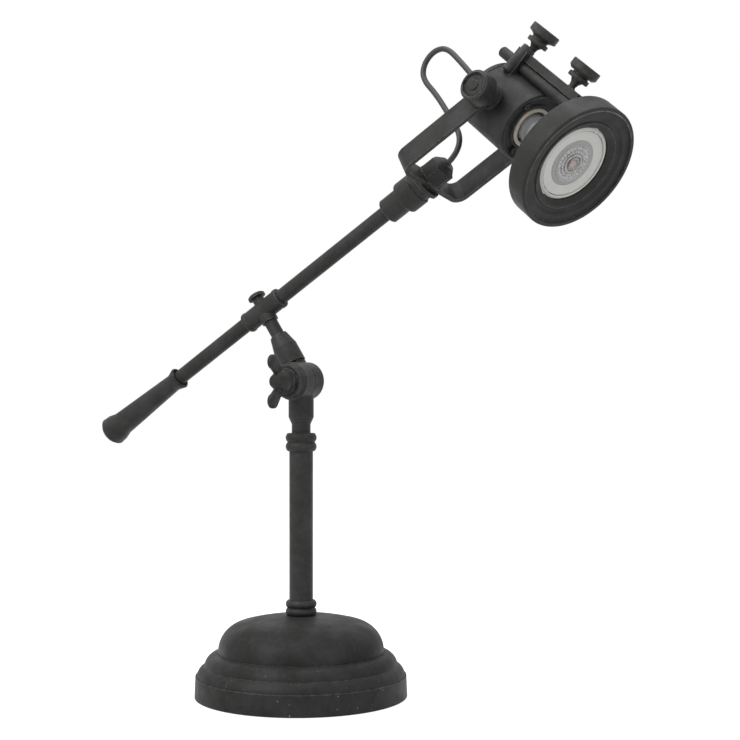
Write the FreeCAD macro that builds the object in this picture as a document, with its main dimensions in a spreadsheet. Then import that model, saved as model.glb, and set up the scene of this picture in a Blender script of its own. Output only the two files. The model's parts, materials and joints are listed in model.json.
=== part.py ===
import FreeCAD, Part
import math
import os
import Sketcher

# Tabletop searchlight lamp: a weighted dome base, a column, a wing-nut knuckle, a counterweighted arm
# in a T collar, a U fork, and a cylindrical head with a ring round its reflector bulb.
# Origin: centre of the face that the lamp stands on. +Z up, the arm lies over the X axis, head towards +X.

os.makedirs("parts", exist_ok=True)
Vector = FreeCAD.Vector
doc = FreeCAD.newDocument("searchlight_lamp")
sheet = doc.addObject("Spreadsheet::Sheet", "dims")

DIMENSIONS = [
    # fits and clearances
    ("fit_gap", 0.05, "radial clearance of a turning or sliding fit"),
    ("face_gap", 0.3, "gap between faces of two moving bodies"),
    ("wall", 3.5, "wall of the base shell"),
    # base
    ("base_radius", 90.0, "radius of the base rim at the bottom"),
    ("rim_lift", 0.8, "height of the rim's lower edge above the table"),
    ("rim_height", 18.3, "top of the upright rim"),
    ("rim_taper", 0.7, "how much the rim draws in towards its top"),
    ("ledge", 1.2, "width of the small ledge on the rim"),
    ("step_low_inset", 8.2, "how far inside the base's radius the lower step ends"),
    ("step_low_rise", 8.7, "height of the lower step"),
    ("step_top_inset", 19.2, "how far inside the base's radius the upper step ends"),
    ("step_top_rise", 10.4, "height of the upper step"),
    ("step_low_bulge", 1.5, "crown of the lower step's curve"),
    ("step_top_bulge", 2.8, "crown of the upper step's curve"),
    ("dome_inset", 0.5, "how far inside the upper step's end the dome's side stands"),
    ("dome_side", 1.0, "height of the dome's upright side"),
    ("shoulder_radius", 25.0, "radius of the dome's shoulder"),
    ("dome_rise", 31.6, "height of the dome above the upper step"),
    ("seat_radius", 14.0, "radius of the flat seat for the foot collar"),
    ("pad_thickness", 2.0, "thickness of the foot pad"),
    ("pad_inset", 6.0, "how far inside the base's radius the foot pad ends"),
    ("pad_hole_gap", 0.8, "gap between a cover screw's head and the foot pad"),
    ("cover_thickness", 1.6, "thickness of the bottom cover"),
    ("weight_inset", 14.0, "how far inside the base's radius the weight ends"),
    ("weight_bore", 22.0, "radius of the hole in the base weight"),
    ("weight_thickness", 17.0, "thickness of the base weight"),
    ("weight_slot", 10.0, "width of the cable slot in the base weight"),
    ("boss_circle", 50.0, "radius of the circle of the screw bosses"),
    ("boss_diameter", 11.0, "diameter of a screw boss"),
    ("boss_drop", 9.4, "how far below the dome's apex the screw bosses end, inside its wall"),
    ("cover_screw_d", 5.0, "shank of a cover screw"),
    ("cover_screw_len", 32.0, "length of a cover screw below its head"),
    ("cover_head_d", 8.4, "head of a cover screw"),
    ("cover_head_t", 1.1, "thickness of a cover screw's head"),
    ("outlet_height", 10.5, "height of the cable outlet in the rim"),
    ("outlet_diameter", 9.0, "hole in the rim for the grommet"),
    ("grommet_lip", 1.6, "how far a grommet lip stands over its hole"),
    ("lead_diameter", 4.8, "diameter of the lead"),
    # column
    ("column_diameter", 20.1, "outer diameter of the column tube"),
    ("tube_wall", 1.5, "wall of the column tube"),
    ("collar_diameter", 26.3, "largest diameter of the beaded collars"),
    ("bead_height", 6.4, "height of one bead of the foot collar"),
    ("bead_bulge", 1.7, "how far a bead stands out"),
    ("top_bead_height", 7.6, "height of one bead of the top collar"),
    ("collar_drop", 59.3, "underside of the top collar below the knuckle's axis"),
    ("socket_depth", 8.0, "depth of the tube sockets in the collars"),
    ("nipple_diameter", 10.0, "threaded nipples that carry the lead"),
    ("nipple_bore", 7.2, "bore of the threaded nipples"),
    ("base_nut_width", 17.0, "across flats of the nut under the dome"),
    ("base_nut_height", 7.0, "height of the nut under the dome"),
    ("washer_radius", 13.5, "radius of the washer under the dome"),
    ("washer_thickness", 2.0, "thickness of the washer under the dome"),
    # knuckle
    ("knuckle_height", 266.9, "height of the knuckle's axis"),
    ("drum_radius", 16.0, "radius of the knuckle drum"),
    ("drum_step", 16.0, "distance of the drum's front step from the column's axis"),
    ("drum_boss_radius", 14.0, "radius of the drum's front boss"),
    ("drum_split", 3.0, "distance of the split face in front of the column's axis"),
    ("drum_front", 24.5, "front face of the drum"),
    ("drum_rear", 12.0, "rear face of the drum"),
    ("friction_thickness", 1.0, "friction washer between the drum halves"),
    ("stem_radius", 10.7, "radius of the knuckle's stems"),
    ("stem_neck_radius", 8.0, "radius of the lower stem's neck"),
    ("stem_straight", 30.6, "distance from the axis to the end of the stem's full width"),
    ("stem_cone", 36.5, "distance from the axis to the end of the stem's cone"),
    ("upper_end", 17.5, "flat lower end of the upper stem from the drum's axis"),
    ("upper_straight", 34.0, "the same on the upper stem"),
    ("upper_cone", 46.0, "end of the upper stem's cone"),
    ("upper_mouth_radius", 7.7, "radius of the upper stem at its mouth"),
    ("web_half", 7.0, "half width of the web between drum and stem"),
    ("journal_radius", 6.0, "radius of the swivel journal"),
    ("journal_bore", 4.0, "radius of the lead's bore in the journal"),
    ("swivel_nut_radius", 8.1, "radius of the nut that holds the journal"),
    ("swivel_nut_height", 5.0, "height of that nut"),
    ("bolt_diameter", 8.0, "knuckle bolt"),
    ("bolt_head_radius", 7.5, "head of the knuckle bolt"),
    ("bolt_head_height", 4.5, "height of the knuckle bolt's head"),
    ("neck_offset", 4.0, "offset of the neck and arm from the column's axis, along Y"),
    # wing nut
    ("wing_washer_t", 1.5, "washer under the wing nut"),
    ("wing_flange_radius", 10.7, "radius of the wing nut's flange"),
    ("wing_flange_height", 2.2, "thickness of the wing nut's flange"),
    ("wing_hub_radius", 9.8, "radius of the wing nut's hub"),
    ("wing_nose_radius", 5.8, "radius of the hub's nose"),
    ("wing_length", 19.0, "length of the wing nut's hub"),
    ("wing_span", 44.0, "span over the wings"),
    ("wing_reach", 26.0, "how far the wings stand forward of the seat"),
    ("wing_lobe", 7.0, "radius of a wing's lobe"),
    ("wing_root", 3.2, "how far in front of the seat the wings start"),
    ("wing_thickness", 4.6, "thickness of the wings"),
    # neck and T collar
    ("arm_rise", 33.2, "angle of the arm above level"),
    ("neck_length", 72.6, "knuckle axis to arm axis"),
    ("neck_diameter", 11.6, "neck rod"),
    ("neck_bore", 4.0, "radius of the bore through the neck rod"),
    ("tee_length", 40.4, "length of the T collar along the arm"),
    ("tee_diameter", 17.3, "outer diameter of the T collar"),
    ("tee_lip", 0.5, "height of the lips at the T collar's ends"),
    ("tee_lip_width", 3.0, "width of the lips"),
    ("tee_boss_radius", 7.4, "radius of the boss that takes the neck"),
    ("tee_boss_reach", 11.5, "how far the neck's boss stands from the arm's axis"),
    ("screw_pad_radius", 5.2, "radius of the pad under the collar's thumb screw"),
    ("screw_pad_reach", 10.4, "top of the pad from the arm's axis"),
    # arm
    ("arm_diameter", 12.9, "arm tube"),
    ("arm_bore", 4.6, "radius of the bore of the arm tube"),
    ("arm_front", 146.0, "front end of the arm tube from the T collar"),
    ("slot_length", 32.0, "length of the lead's slot in the arm tube"),
    ("slot_width", 6.4, "width of that slot"),
    ("weight_rear", 199.5, "rear end of the counterweight from the T collar"),
    ("weight_front", 106.0, "front end of the counterweight from the T collar"),
    ("weight_big", 14.7, "largest radius of the counterweight"),
    ("weight_small", 10.6, "radius where the counterweight's taper ends"),
    ("weight_round", 7.5, "rounding of the counterweight's rear end"),
    ("weight_mouth", 8.4, "radius of the counterweight's mouth"),
    ("weight_mouth_depth", 3.0, "depth of the recess in the mouth"),
    ("weight_grip", 40.0, "length of arm tube inside the counterweight"),
    # fork swivel
    ("small_collar_grip", 2.0, "length of arm tube inside the small collar"),
    ("small_collar_length", 17.6, "length of the small collar"),
    ("small_collar_radius", 10.8, "radius of the small collar"),
    ("large_collar_length", 16.4, "length of the large collar"),
    ("large_collar_radius", 14.0, "radius of the large collar"),
    ("large_collar_round", 3.0, "rounding of the large collar's rear edge"),
    ("spacer_radius", 12.6, "radius of the spacer's neck"),
    ("spacer_flange", 15.4, "radius of the spacer's flange"),
    ("spacer_flange_t", 4.0, "thickness of the spacer's flange"),
    ("nipple_nut_radius", 8.0, "nut on the rear end of the fork nipple"),
    ("nipple_nut_height", 3.0, "height of that nut"),
    # fork
    ("spacer_length", 9.0, "length of the spacer between large collar and fork"),
    ("fork_reach", 92.0, "head pivot ahead of the fork's rear face"),
    ("fork_width", 82.0, "width over the fork's legs"),
    ("fork_bar", 17.8, "width of the fork's bar"),
    ("fork_thickness", 4.0, "thickness of the fork's bar"),
    ("fork_bend", 11.0, "outer radius of the fork's bends"),
    ("fork_roll", 17.2, "turn of the fork about the arm"),
    ("gland_washer_radius", 11.8, "washer under the cable gland"),
    ("gland_washer_t", 1.6, "thickness of that washer"),
    ("gland_width", 21.4, "across flats of the gland"),
    ("gland_hex_length", 13.5, "length of the gland's hexagon"),
    ("gland_dome", 4.9, "length of the gland's domed end"),
    ("gland_mouth_radius", 4.6, "radius of the gland's mouth"),
    # head
    ("head_tilt", 72.3, "angle of the head below the arm's direction"),
    ("housing_radius", 29.2, "radius of the housing"),
    ("housing_rear", 27.6, "rear face of the housing behind the pivot"),
    ("housing_front", 24.0, "front rim of the housing ahead of the pivot"),
    ("rear_cap_depth", 4.4, "thickness of the rear cap"),
    ("rear_cap_round", 1.6, "rounding of the rear cap"),
    ("housing_wall", 2.2, "wall of the housing"),
    ("seam_groove", 0.5, "depth of the groove at the rear cap"),
    ("plate_recess", 1.8, "how far the front plate sits inside the rim"),
    ("plate_thickness", 2.0, "thickness of the front plate"),
    ("plate_bore", 17.9, "hole in the front plate"),
    ("plate_screw_circle", 21.4, "circle of the front plate's screws"),
    ("plate_screw_d", 3.0, "front plate screws"),
    ("plate_screw_head", 5.6, "head of a front plate screw"),
    ("holder_radius", 17.5, "outer radius of the porcelain lampholder"),
    ("holder_bore", 14.0, "bore of the porcelain lampholder"),
    ("holder_body", 18.4, "radius of the lampholder inside the housing"),
    ("holder_flange", 23.6, "flange of the lampholder behind the front plate"),
    ("holder_flange_t", 6.0, "thickness of that flange"),
    ("holder_rear", 17.0, "rear end of the lampholder behind the pivot"),
    ("shell_thickness", 0.5, "sheet of the screw shell"),
    ("cap_radius", 12.9, "radius of the bulb's screw cap"),
    ("cap_pitch", 3.6, "pitch of the bulb's screw thread"),
    ("bulb_rim_radius", 31.3, "largest radius of the bulb"),
    ("bulb_rim_front", 79.8, "front of the bulb's rim ahead of the pivot"),
    ("bulb_rim_depth", 6.0, "depth of the bulb's rim"),
    ("bulb_neck_radius", 13.2, "radius of the bulb's glass at its cap"),
    ("bulb_throat_radius", 17.0, "radius where the bulb's neck has flared out"),
    ("bulb_throat", 6.8, "length of the flare"),
    ("bulb_flank", 150.0, "radius of the bulb flank's curve"),
    ("bulb_wall", 1.2, "wall of the bulb"),
    ("lens_radius", 28.2, "radius of the bulb's front face"),
    ("pivot_boss_radius", 8.0, "radius of the pivot boss on the housing"),
    ("pivot_boss_inset", 6.6, "outer face of the pivot boss behind the fork leg's outer face"),
    ("pivot_pin_d", 8.0, "pivot pin"),
    ("pivot_washer_radius", 10.6, "washer between leg and knob"),
    ("pivot_washer_t", 2.0, "thickness of that washer"),
    ("pivot_neck_radius", 9.0, "radius of the pivot knob's neck"),
    ("pivot_neck", 2.6, "length of the pivot knob's neck"),
    ("pivot_knob_radius", 12.9, "radius of the pivot knob"),
    ("pivot_knob_length", 11.0, "length of the pivot knob's head"),
    ("knob_groove", 0.8, "depth of the ring groove in the pivot knob"),
    ("knob_nub_radius", 2.6, "radius of the nub in the pivot knob"),
    # bracket, rail, rod
    ("block_rear", 18.9, "rear face of the bracket block behind the pivot"),
    ("block_front", 8.5, "front face of the bracket block behind the pivot"),
    ("block_foot", 16.0, "foot of the bracket block from the head's axis, inside the housing's curve"),
    ("block_half", 8.0, "half width of the bracket block"),
    ("block_top", 43.1, "top of the bracket block from the head's axis"),
    ("rod_side", 12.0, "offset of the bracket, rail and rod towards the near pivot"),
    ("rod_radius", 4.3, "radius of the slide rod"),
    ("rod_height", 31.7, "slide rod's axis from the head's axis"),
    ("rod_rear", 37.2, "rear end of the slide rod behind the pivot"),
    ("rail_front", 55.0, "front end of the rail ahead of the pivot"),
    ("rail_half", 4.2, "half width of the rail"),
    ("rail_height", 6.8, "height of the rail"),
    ("rail_screw_rear", 13.0, "rear thumb screw behind the pivot"),
    ("rail_screw_front", 41.6, "front thumb screw ahead of the pivot"),
    ("thumb_shank_d", 5.6, "shank of a thumb screw"),
    ("thumb_rise_rear", 9.4, "bare shank of the rear thumb screw above the rail"),
    ("thumb_rise_front", 7.2, "bare shank of the front thumb screw above the rail"),
    ("thumb_throat_radius", 4.0, "radius of a thumb screw's shank under its flange"),
    ("thumb_flange_radius", 8.5, "flange of a thumb screw"),
    ("thumb_flange_t", 2.0, "thickness of that flange"),
    ("thumb_waist_radius", 5.6, "waist between flange and head"),
    ("thumb_waist", 6.0, "length of the waist"),
    ("thumb_head_radius", 12.2, "head of a thumb screw"),
    ("thumb_head_t", 5.3, "thickness of the head"),
    # ring
    ("ring_radius", 52.2, "outer radius of the ring"),
    ("ring_front", 87.0, "front face of the ring ahead of the pivot"),
    ("ring_depth", 16.5, "depth of the ring"),
    ("ring_bore", 33.5, "radius of the ring's bore"),
    ("ring_lip", 3.4, "width of the lip round the ring's face"),
    ("ring_dish", 1.6, "how far the ring's face lies below its lip"),
    ("recess_radius", 40.0, "radius of the inner recess"),
    ("recess_depth", 2.5, "depth of the inner recess"),
    ("retainer_radius", 37.5, "outer radius of the retaining ring"),
    ("retainer_bore", 31.9, "bore of the retaining ring"),
    ("retainer_depth", 12.0, "depth of the retaining ring"),
    ("lug_depth", 6.5, "length of the lug behind the ring"),
    ("lug_half", 6.0, "half width of the lug"),
    ("lug_arch", 30.5, "radius of the lug's hollow over the bulb"),
    ("lug_margin", 6.0, "distance of the lug's outer edge from the ring's edge"),
    ("stud_radius", 2.5, "stud at the rod's front end"),
    ("lug_screw_d", 3.0, "screws that hold the lug"),
    ("lug_head_d", 4.4, "heads of the lug screws"),
    ("lug_head_t", 2.0, "height of those heads, which are sunk into the lug"),
    ("lug_tap", 7.0, "depth of the threaded holes for the lug screws in the ring"),
]


class Size:
    """A length with the sheet expression that gives it, so that a sketch can follow the sheet."""

    def __init__(self, value, text):
        self.value = value
        self.text = text

    def __add__(self, other):
        other = sized(other)
        return Size(self.value + other.value, f"({self.text} + {other.text})")

    __radd__ = __add__

    def __sub__(self, other):
        other = sized(other)
        return Size(self.value - other.value, f"({self.text} - {other.text})")

    def __rsub__(self, other):
        return sized(other) - self

    def __mul__(self, other):
        other = sized(other)
        return Size(self.value * other.value, f"({self.text} * {other.text})")

    __rmul__ = __mul__

    def __truediv__(self, other):
        other = sized(other)
        return Size(self.value / other.value, f"({self.text} / {other.text})")

    def __neg__(self):
        return Size(-self.value, f"(0 - {self.text})")

    def root(self):
        return Size(math.sqrt(self.value), f"sqrt({self.text})")


def sized(number):
    """A plain number as a Size."""
    return number if isinstance(number, Size) else Size(float(number), f"{float(number):.9g}")


class Dimensions:
    """The sheet's cells by their aliases."""

    def __getattr__(self, alias):
        return Size(float(sheet.get(alias)), f"dims.{alias}")


def fill_sheet():
    for row, (alias, value, note) in enumerate(DIMENSIONS, start=1):
        sheet.set(f"A{row}", alias)
        sheet.set(f"B{row}", str(value))
        sheet.set(f"C{row}", note)
        sheet.setAlias(f"B{row}", alias)
    doc.recompute()


def add_following_sizes():
    """Sizes and places that follow from the driving ones."""
    d.step_low_radius = d.base_radius - d.step_low_inset
    d.step_low_height = d.rim_height + d.step_low_rise
    d.step_top_radius = d.base_radius - d.step_top_inset
    d.step_top_height = d.step_low_height + d.step_top_rise
    d.dome_radius = d.step_top_radius - d.dome_inset
    d.dome_height = d.step_top_height + d.dome_rise
    d.boss_top = d.dome_height - d.boss_drop
    d.pad_radius = d.base_radius - d.pad_inset
    d.weight_radius = d.base_radius - d.weight_inset
    d.column_top = d.knuckle_height - d.collar_drop
    d.small_collar_rear = d.arm_front - d.small_collar_grip
    d.small_collar_front = d.small_collar_rear + d.small_collar_length
    d.large_collar_front = d.small_collar_front + d.large_collar_length
    d.fork_seat = d.large_collar_front + d.spacer_length
    d.pivot_distance = d.fork_seat + d.fork_reach
    d.pivot_boss_reach = d.fork_width / 2 - d.pivot_boss_inset


fill_sheet()
d = Dimensions()
add_following_sizes()
sub_parts = []


# ---------------------------------------------------------------- sketch and feature helpers

def new_body(label, frame):
    body = doc.addObject("PartDesign::Body", label)
    body.Label = label
    body.Placement = frame
    sub_parts.append(body)
    return body


def new_sketch(body, role, rise=0):
    """A sketch on one of the body's own planes, raised along the plane's normal."""
    plane = next(f for f in body.Origin.OriginFeatures if f.Role == role)
    sketch = body.newObject("Sketcher::SketchObject", body.Name + "_sketch")
    sketch.AttachmentSupport = [(plane, "")]
    sketch.MapMode = "FlatFace"
    rise = sized(rise)
    sketch.AttachmentOffset = FreeCAD.Placement(Vector(0, 0, rise.value), FreeCAD.Rotation())
    sketch.setExpression("AttachmentOffset.Base.z", rise.text)
    return sketch


def bind(sketch, kind, *arguments):
    """Adds a constraint whose last argument is a Size that follows the sheet."""
    size = sized(arguments[-1])
    number = sketch.addConstraint(Sketcher.Constraint(kind, *arguments[:-1], size.value))
    sketch.setExpression(f"Constraints[{number}]", size.text)


class Arc:
    """An arc between two outline points: radius, and +1 to bulge left of the way, -1 right."""

    def __init__(self, radius, side):
        self.radius = sized(radius)
        self.side = side


def arc_geometry(start, end, arc):
    chord = end - start
    half = chord.Length / 2
    across = Vector(-chord.y, chord.x, 0).normalize() * arc.side
    centre = start + chord / 2 - across * math.sqrt(max(arc.radius.value ** 2 - half ** 2, 0))
    first, last = (end, start) if arc.side > 0 else (start, end)
    angles = [math.atan2(p.y - centre.y, p.x - centre.x) for p in (first, last)]
    circle = Part.Circle(centre, Vector(0, 0, 1), arc.radius.value)
    return Part.ArcOfCircle(circle, angles[0], angles[1])


def draw(sketch, outline):
    """Draws a closed outline of (x, y) points with Arc marks between them, all bound to the sheet."""
    points, arcs = [], {}
    for item in outline:
        if isinstance(item, Arc):
            arcs[len(points) - 1] = item
        else:
            points.append((sized(item[0]), sized(item[1])))
    places = [Vector(x.value, y.value, 0) for x, y in points]
    base = sketch.GeometryCount
    ends = []
    for i, start in enumerate(places):
        end = places[(i + 1) % len(places)]
        if i in arcs:
            sketch.addGeometry(arc_geometry(start, end, arcs[i]), False)
            ends.append((2, 1) if arcs[i].side > 0 else (1, 2))
        else:
            sketch.addGeometry(Part.LineSegment(start, end), False)
            ends.append((1, 2))
    for i in range(len(places)):
        after = (i + 1) % len(places)
        sketch.addConstraint(
            Sketcher.Constraint("Coincident", base + i, ends[i][1], base + after, ends[after][0]))
    for i, (x, y) in enumerate(points):
        bind(sketch, "DistanceX", -1, 1, base + i, ends[i][0], x)
        bind(sketch, "DistanceY", -1, 1, base + i, ends[i][0], y)
    for i, arc in arcs.items():
        bind(sketch, "Radius", base + i, arc.radius)


def draw_circle(sketch, x, y, radius):
    x, y, radius = sized(x), sized(y), sized(radius)
    circle = Part.Circle(Vector(x.value, y.value, 0), Vector(0, 0, 1), radius.value)
    number = sketch.addGeometry(circle, False)
    bind(sketch, "DistanceX", -1, 1, number, 3, x)
    bind(sketch, "DistanceY", -1, 1, number, 3, y)
    bind(sketch, "Radius", number, radius)


def draw_hexagon(sketch, across_flats, turn=0.0):
    """A hexagon about the origin; a corner lies at the angle turn, in degrees."""
    corner = across_flats / 2 / math.cos(math.radians(30))
    angles = [math.radians(turn + 60 * i) for i in range(6)]
    draw(sketch, [(corner * math.cos(a), corner * math.sin(a)) for a in angles])


def revolve(body, outline, plane="XZ_Plane"):
    """Turns an outline of (radius, height) about the body's Z axis, or about Y from the XY plane."""
    sketch = new_sketch(body, plane)
    draw(sketch, outline)
    feature = body.newObject("PartDesign::Revolution", body.Name + "_turned")
    feature.Profile = sketch
    feature.ReferenceAxis = (sketch, ["V_Axis"])
    feature.Angle = 360
    return feature


def groove(body, outline):
    """Cuts a turned outline out of the body."""
    sketch = new_sketch(body, "XZ_Plane")
    draw(sketch, outline)
    feature = body.newObject("PartDesign::Groove", body.Name + "_groove")
    feature.Profile = sketch
    feature.ReferenceAxis = (sketch, ["V_Axis"])
    feature.Angle = 360
    return feature


def pad(body, sketch, length, both_ways=False, reverse=False):
    feature = body.newObject("PartDesign::Pad", body.Name + "_pad")
    feature.Profile = sketch
    length = sized(length)
    feature.Length = length.value
    feature.setExpression("Length", length.text)
    feature.SideType = "Symmetric" if both_ways else "One side"
    feature.Reversed = reverse
    return feature


def cut_through(body, sketch):
    """Cuts a sketch through the whole body, both ways."""
    feature = body.newObject("PartDesign::Pocket", body.Name + "_cut")
    feature.Profile = sketch
    feature.Type = "ThroughAll"
    feature.SideType = "Symmetric"
    return feature


def cut(body, sketch, depth, reverse=False):
    """Cuts a sketch to a depth against its normal, or along it when reversed."""
    feature = body.newObject("PartDesign::Pocket", body.Name + "_cut")
    feature.Profile = sketch
    depth = sized(depth)
    feature.Length = depth.value
    feature.setExpression("Length", depth.text)
    feature.Reversed = reverse
    return feature


def fillet(body, edges, radius):
    """Rounds the named edges of the body's last feature."""
    last = body.Tip
    feature = body.newObject("PartDesign::Fillet", body.Name + "_round")
    feature.Base = (last, edges)
    radius = sized(radius)
    feature.Radius = radius.value
    feature.setExpression("Radius", radius.text)
    return feature


def turned(label, frame, outline):
    body = new_body(label, frame)
    revolve(body, outline)
    return body


def ring_outline(inner, outer, low, high):
    return [(inner, low), (outer, low), (outer, high), (inner, high)]


def washer(label, frame, inner, outer, low, high):
    return turned(label, frame, ring_outline(inner, outer, low, high))


def group(label, pattern, frames):
    """Several equal pieces in one node: separate solids, each a copy of the pattern."""
    copies = [pattern.Shape.transformed(frame.toMatrix()) for frame in frames]
    piece = doc.addObject("Part::Feature", label)
    piece.Label = label
    piece.Shape = Part.makeCompound(copies)
    sub_parts.append(piece)
    return piece


def pattern_body(name):
    """A body that is only copied by group() and isn't a sub-part itself."""
    body = doc.addObject("PartDesign::Body", name)
    body.Label = name
    return body


# ---------------------------------------------------------------- frames

def axes(origin, x, y, z):
    """A placement from an origin and three unit axes."""
    matrix = FreeCAD.Matrix(x.x, y.x, z.x, origin.x, x.y, y.y, z.y, origin.y,
                            x.z, y.z, z.z, origin.z, 0, 0, 0, 1)
    return FreeCAD.Placement(matrix)


def at(frame, x=0, y=0, z=0, turn=None):
    """The frame moved in its own axes, and turned when a rotation is given."""
    moved = FreeCAD.Placement(Vector(*[sized(v).value for v in (x, y, z)]), turn or FreeCAD.Rotation())
    return frame * moved


rise = math.radians(d.arm_rise.value)
along_arm = Vector(math.cos(rise), 0, math.sin(rise))
along_neck = Vector(-math.sin(rise), 0, math.cos(rise))
along_y = Vector(0, 1, 0)
knuckle_centre = Vector(0, 0, d.knuckle_height.value)

BASE = FreeCAD.Placement()
KNUCKLE = axes(knuckle_centre, Vector(1, 0, 0), along_y, Vector(0, 0, 1))
# the drum's axis as Z, pointing to the wing nut
DRUM = axes(knuckle_centre, Vector(1, 0, 0), Vector(0, 0, 1), -along_y)
# Z up the neck, X along the arm
neck_foot = knuckle_centre + along_y * d.neck_offset.value
UPPER = axes(knuckle_centre, along_arm, along_y, along_neck)
NECK = axes(neck_foot, along_arm, along_y, along_neck)
tee_centre = neck_foot + along_neck * d.neck_length.value
TEE = axes(tee_centre, along_arm, along_y, along_neck)
# Z along the arm, X up across it
ARM = axes(tee_centre, along_neck, -along_y, along_arm)

roll = math.radians(d.fork_roll.value)
pivot_axis = (-along_y) * math.cos(roll) + along_neck * math.sin(roll)
fork_up = along_arm.cross(-pivot_axis)
pivot_centre = tee_centre + along_arm * d.pivot_distance.value
# Z along the arm, X along the pivot axis, Y up across the fork's bar
FORK = axes(tee_centre, pivot_axis, along_arm.cross(pivot_axis), along_arm)
tilt = math.radians(d.head_tilt.value)
head_axis = along_arm * math.cos(tilt) - fork_up * math.sin(tilt)
head_up = along_arm * math.sin(tilt) + fork_up * math.cos(tilt)
# Z along the head towards its front, Y up to the thumb screws, X = Y x Z along the pivot
HEAD = axes(pivot_centre, head_up.cross(head_axis), head_up, head_axis)
PIVOT = axes(pivot_centre, head_axis, head_up, pivot_axis)
LEVER = axes(pivot_centre, pivot_axis, head_axis, head_up)


# ---------------------------------------------------------------- base

def dome_arcs():
    """Centre heights and radii of the dome's crown and shoulder, tangent to each other."""
    shoulder_centre = d.dome_radius - d.shoulder_radius
    shoulder_height = d.step_top_height + d.dome_side
    drop = d.dome_height - shoulder_height
    squares = shoulder_centre * shoulder_centre + drop * drop - d.shoulder_radius * d.shoulder_radius
    crown_radius = squares / (2 * (drop - d.shoulder_radius))
    crown_height = d.dome_height - crown_radius
    return shoulder_centre, shoulder_height, crown_radius, crown_height


def bead_arc(height, bulge):
    """Radius of the arc that stands out by bulge over a chord of this height."""
    return (height * height / 4 + bulge * bulge) / (2 * bulge)


def base_seat():
    """Height of the flat seat on the crown, and of its underside."""
    crown_radius, crown_height = dome_arcs()[2:]
    seat = crown_height + (crown_radius * crown_radius - d.seat_radius * d.seat_radius).root()
    return seat, seat - d.wall - 1


def make_base_shell():
    side_r, side_z, crown_r, crown_z = dome_arcs()
    share = crown_r / (crown_r - d.shoulder_radius)
    meet = (side_r * share, crown_z + (side_z - crown_z) * share)
    inner_share = (crown_r - d.wall) / (crown_r - d.shoulder_radius)
    inner_meet = (side_r * inner_share, crown_z + (side_z - crown_z) * inner_share)
    seat, seat_under = base_seat()
    hole = d.nipple_diameter / 2 + d.fit_gap
    inner_crown_r = crown_r - d.wall
    pad_r = d.washer_radius + 2
    inner_crown = crown_z + (inner_crown_r * inner_crown_r - pad_r * pad_r).root()
    low_chord = ((d.base_radius - d.rim_taper - d.ledge - d.step_low_radius)
                 * (d.base_radius - d.rim_taper - d.ledge - d.step_low_radius)
                 + (d.step_low_height - d.rim_height) * (d.step_low_height - d.rim_height)).root()
    top_chord = ((d.step_low_radius - d.step_top_radius) * (d.step_low_radius - d.step_top_radius)
                 + (d.step_top_height - d.step_low_height)
                 * (d.step_top_height - d.step_low_height)).root()
    body = turned("base_shell", BASE, [
        (d.base_radius - d.wall, d.rim_lift),
        (d.base_radius, d.rim_lift),
        (d.base_radius - d.rim_taper, d.rim_height),
        (d.base_radius - d.rim_taper - d.ledge, d.rim_height),
        Arc(bead_arc(low_chord, d.step_low_bulge), -1),
        (d.step_low_radius, d.step_low_height),
        Arc(bead_arc(top_chord, d.step_top_bulge), -1),
        (d.step_top_radius, d.step_top_height),
        (d.dome_radius, d.step_top_height),
        (d.dome_radius, side_z),
        Arc(d.shoulder_radius, -1),
        meet,
        Arc(crown_r, -1),
        (d.seat_radius, seat),
        (hole, seat),
        (hole, seat_under),
        (pad_r, seat_under),
        (pad_r, inner_crown),
        Arc(inner_crown_r, 1),
        inner_meet,
        Arc(d.shoulder_radius - d.wall, 1),
        (d.dome_radius - d.wall, side_z),
        (d.dome_radius - d.wall, d.step_top_height - 1),
        (d.step_low_radius - d.wall, d.step_low_height - d.wall / 2),
        (d.base_radius - d.wall, d.rim_height - d.wall / 2),
    ])
    bosses = new_sketch(body, "XY_Plane", boss_foot())
    pilots = new_sketch(body, "XY_Plane", boss_foot())
    for x, y in boss_places():
        draw_circle(bosses, x, y, d.boss_diameter / 2)
        draw_circle(pilots, x, y, d.cover_screw_d / 2 + d.fit_gap)
    pad(body, bosses, d.boss_top - boss_foot())
    cut(body, pilots, d.cover_screw_len, reverse=True)
    outlet = new_sketch(body, "YZ_Plane")
    draw_circle(outlet, 0, d.outlet_height, d.outlet_diameter / 2)
    cut(body, outlet, d.base_radius * 2, reverse=False)
    return body


def boss_foot():
    return d.pad_thickness + d.cover_thickness + d.weight_thickness + d.face_gap


def boss_places():
    angles = [math.radians(60 + 120 * i) for i in range(3)]
    return [(d.boss_circle * math.cos(a), d.boss_circle * math.sin(a)) for a in angles]


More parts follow.
